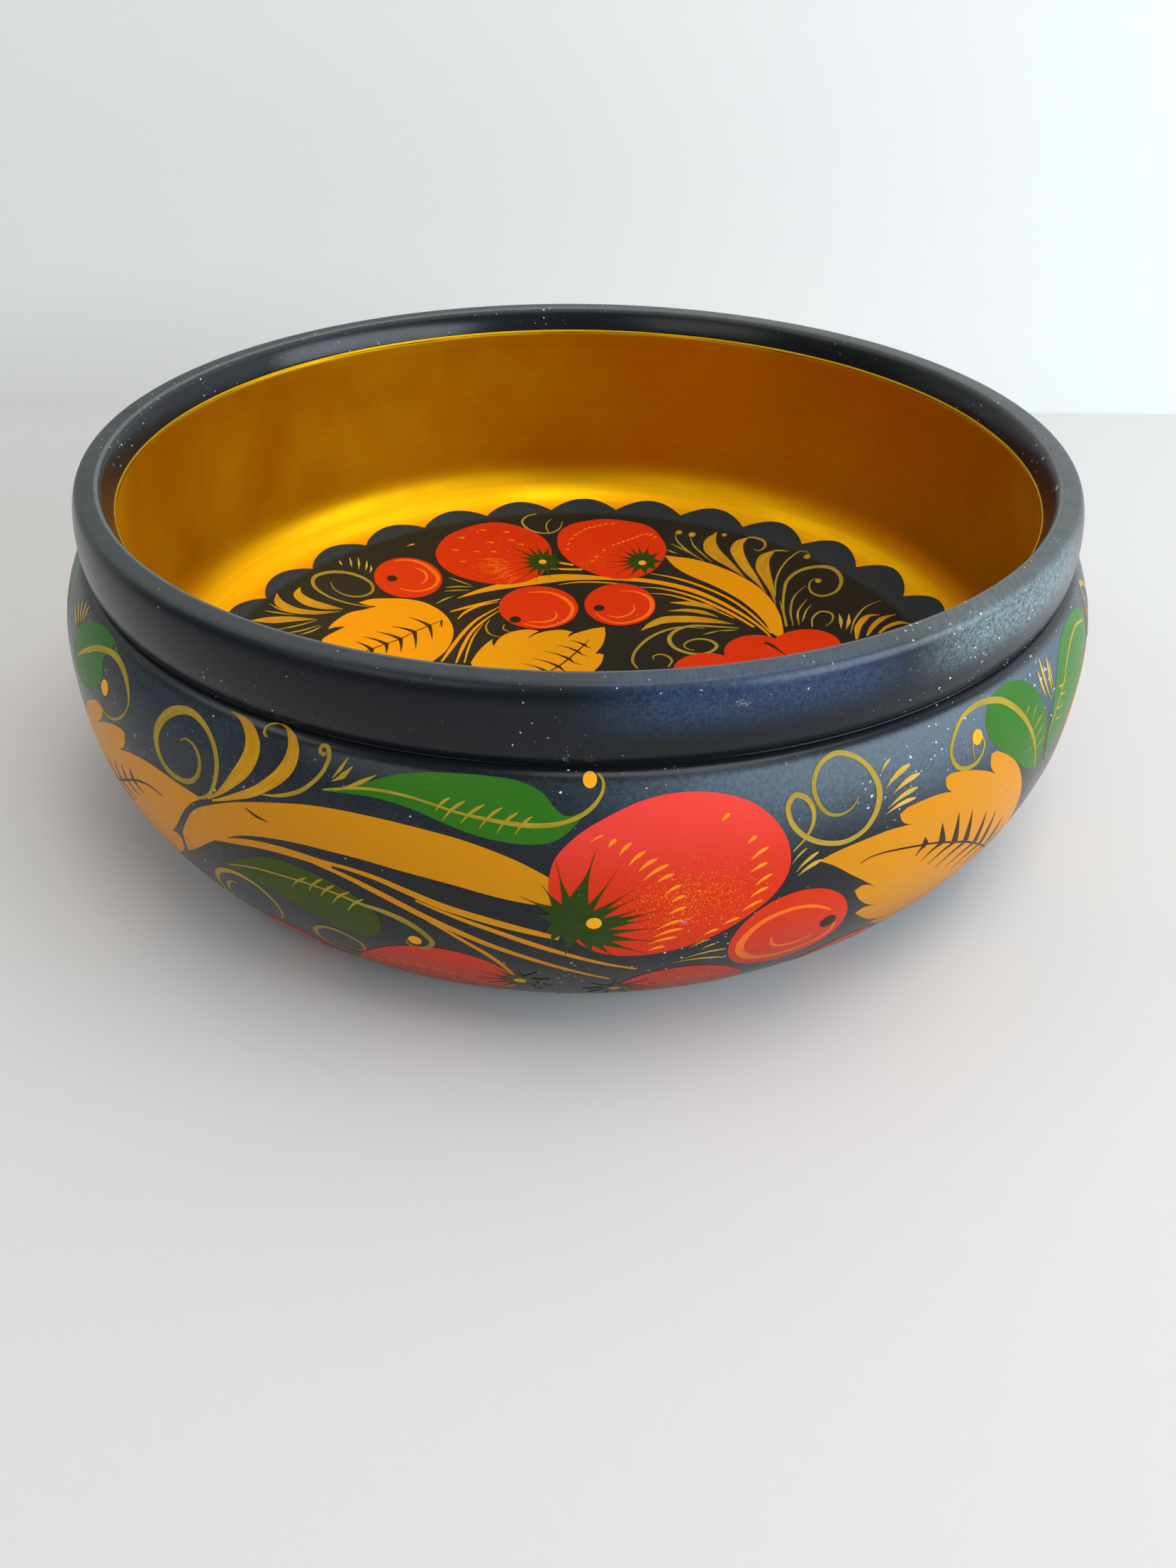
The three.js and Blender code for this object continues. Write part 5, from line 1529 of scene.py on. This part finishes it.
for points in (
    [(-90.3, 74.5), (-88.9, 71.9)], [(-86.8, 77.4), (-86, 74.6), (-85.4, 71.7)],
    [(-83.9, 78.5), (-83, 74.6), (-82.6, 70.7)], [(-80.5, 77.4), (-80.1, 74), (-80.2, 70.9)],
    [(-78.6, 74.7), (-78.2, 72), (-78.6, 69.8)], [(-52.5, 54.7), (-49.4, 58.3), (-46.5, 60.7)],
    [(92.7, 42), (92.5, 37), (91.8, 32.4)], [(95.9, 41), (95, 36), (93.3, 31.4)],
):
    stroke("grass", points, [0.15, 0.85 if points[0][0] < 0 else 1.4, 0.15], 1)
dash("grass", (-64, 92), (-66.8, 89.8), 0.8, 1)
tally("crescents, plumes and curls")

# %% The near half and the pieces
for colour, strokes in paper.items():
    strokes += [(2 * roundel_middle - plan, *rest) for plan, *rest in strokes]
painted(roundel_point, "floor")

# %% [markdown]
# Floor, camera and light
#
# A plain pale floor and wall, a camera where the photograph was taken, and large soft lamps. The camera stood
# close, with a short lens, and looked steeply down: its place comes from fitting the rim's two edges, the
# belly and the foot. The highlights tell where the light was: a large cool window to the right of the camera,
# a weaker warm light to its left, and soft light from above. The wall is clear from behind, so that the bowl
# can be looked at from there too.

# %% Floor and wall
floor_reach, wall_place, wall_height = 3.0, 0.31, 1.6  # in metres


def sheet(name, corners, material):
    """A flat stage piece with four corners, linked to the scene."""
    mesh = bpy.data.meshes.new(name)
    mesh.from_pydata(corners, [], [(0, 1, 2, 3)])
    mesh.materials.append(material)
    made = bpy.data.objects.new(name, mesh)
    bpy.context.scene.collection.objects.link(made)
    return made


pale, tree, shader, place = material("pale_floor")
shader.inputs["Base Color"].default_value = (0.60, 0.595, 0.585, 1)
shader.inputs["Roughness"].default_value = 0.9
shader.inputs["Specular IOR Level"].default_value = 0.0
floor = sheet("floor", [(-floor_reach, -floor_reach, 0), (floor_reach, -floor_reach, 0),
                        (floor_reach, floor_reach, 0), (-floor_reach, floor_reach, 0)], pale)

white, tree, shader, place = material("white_wall")
shader.inputs["Base Color"].default_value = (0.81, 0.825, 0.805, 1)
shader.inputs["Roughness"].default_value = 0.9
from_behind = put(tree, "NewGeometry").outputs["Backfacing"]
clear = put(tree, "BsdfTransparent").outputs[0]
shown = put(tree, "MixShader", {0: from_behind, 1: shader.outputs[0], 2: clear}).outputs[0]
tree.links.new(shown, tree.nodes["Material Output"].inputs["Surface"])
wall = sheet("wall", [(-floor_reach, wall_place, 0), (floor_reach, wall_place, 0),
                      (floor_reach, wall_place, wall_height), (-floor_reach, wall_place, wall_height)], white)
print("wall", wall_place, "m behind the bowl's middle")

# %% Camera
yaw, pitch, roll = 0.0101, 0.6347, 0.0125  # in radians, fitted to the photograph
forward = np.array([math.sin(yaw) * math.cos(pitch), math.cos(yaw) * math.cos(pitch), -math.sin(pitch)])
right = np.array([math.cos(yaw), -math.sin(yaw), 0.0])
upward = np.cross(right, forward)
tilted_right = math.cos(roll) * right + math.sin(roll) * upward
tilted_up = -math.sin(roll) * right + math.cos(roll) * upward
camera = bpy.data.objects.new("camera", bpy.data.cameras.new("camera"))
bpy.context.scene.collection.objects.link(camera)
turn = np.column_stack([tilted_right, tilted_up, -forward])
camera_place = (0.0, -0.3397, 0.2246)
camera.matrix_world = Matrix.Translation(camera_place) @ Matrix(turn.tolist()).to_4x4()
camera.data.sensor_width, camera.data.sensor_fit = 36.0, "AUTO"
camera.data.lens = 27.67
bpy.context.scene.camera = camera
print("camera at", [round(c, 3) for c in camera.matrix_world.translation])

# %% Lamps and world


def soft_lamp(name, place, aim, size, power, tint):
    """A rectangular area lamp at a place, turned to face the aim, in metres and watts."""
    lamp = bpy.data.lights.new(name, "AREA")
    lamp.shape, lamp.size, lamp.size_y = "RECTANGLE", size[0], size[1]
    lamp.energy, lamp.color = power, tint
    holder = bpy.data.objects.new(name, lamp)
    way = Vector(aim) - Vector(place)
    holder.matrix_world = Matrix.Translation(place) @ way.to_track_quat("-Z", "Y").to_matrix().to_4x4()
    bpy.context.scene.collection.objects.link(holder)


soft_lamp("window", (1.26, -0.62, 0.56), (0, 0, 0.05), (1.6, 0.6), 24.0, (0.82, 0.91, 1.0))
soft_lamp("room", (-0.9, -1.2, 0.85), (0, 0, 0.03), (1.0, 0.6), 3.5, (1.0, 0.97, 0.93))
soft_lamp("ceiling", (0.35, -0.10, 1.4), (0, 0, 0.0), (1.3, 0.8), 13.5, (1.0, 0.98, 0.96))
soft_lamp("left_ceiling", (-1.15, 0.02, 1.25), (0, 0, 0.0), (0.8, 0.5), 4.0, (1.0, 0.98, 0.96))

world = bpy.data.worlds.new("soft_room")
world.use_nodes = True
world.node_tree.nodes["Background"].inputs["Color"].default_value = (0.80, 0.83, 0.88, 1)
world.node_tree.nodes["Background"].inputs["Strength"].default_value = 0.18
bpy.context.scene.world = world
bpy.context.scene.view_settings.view_transform = "Standard"
print("lamps:", [lamp.name for lamp in bpy.data.lights])
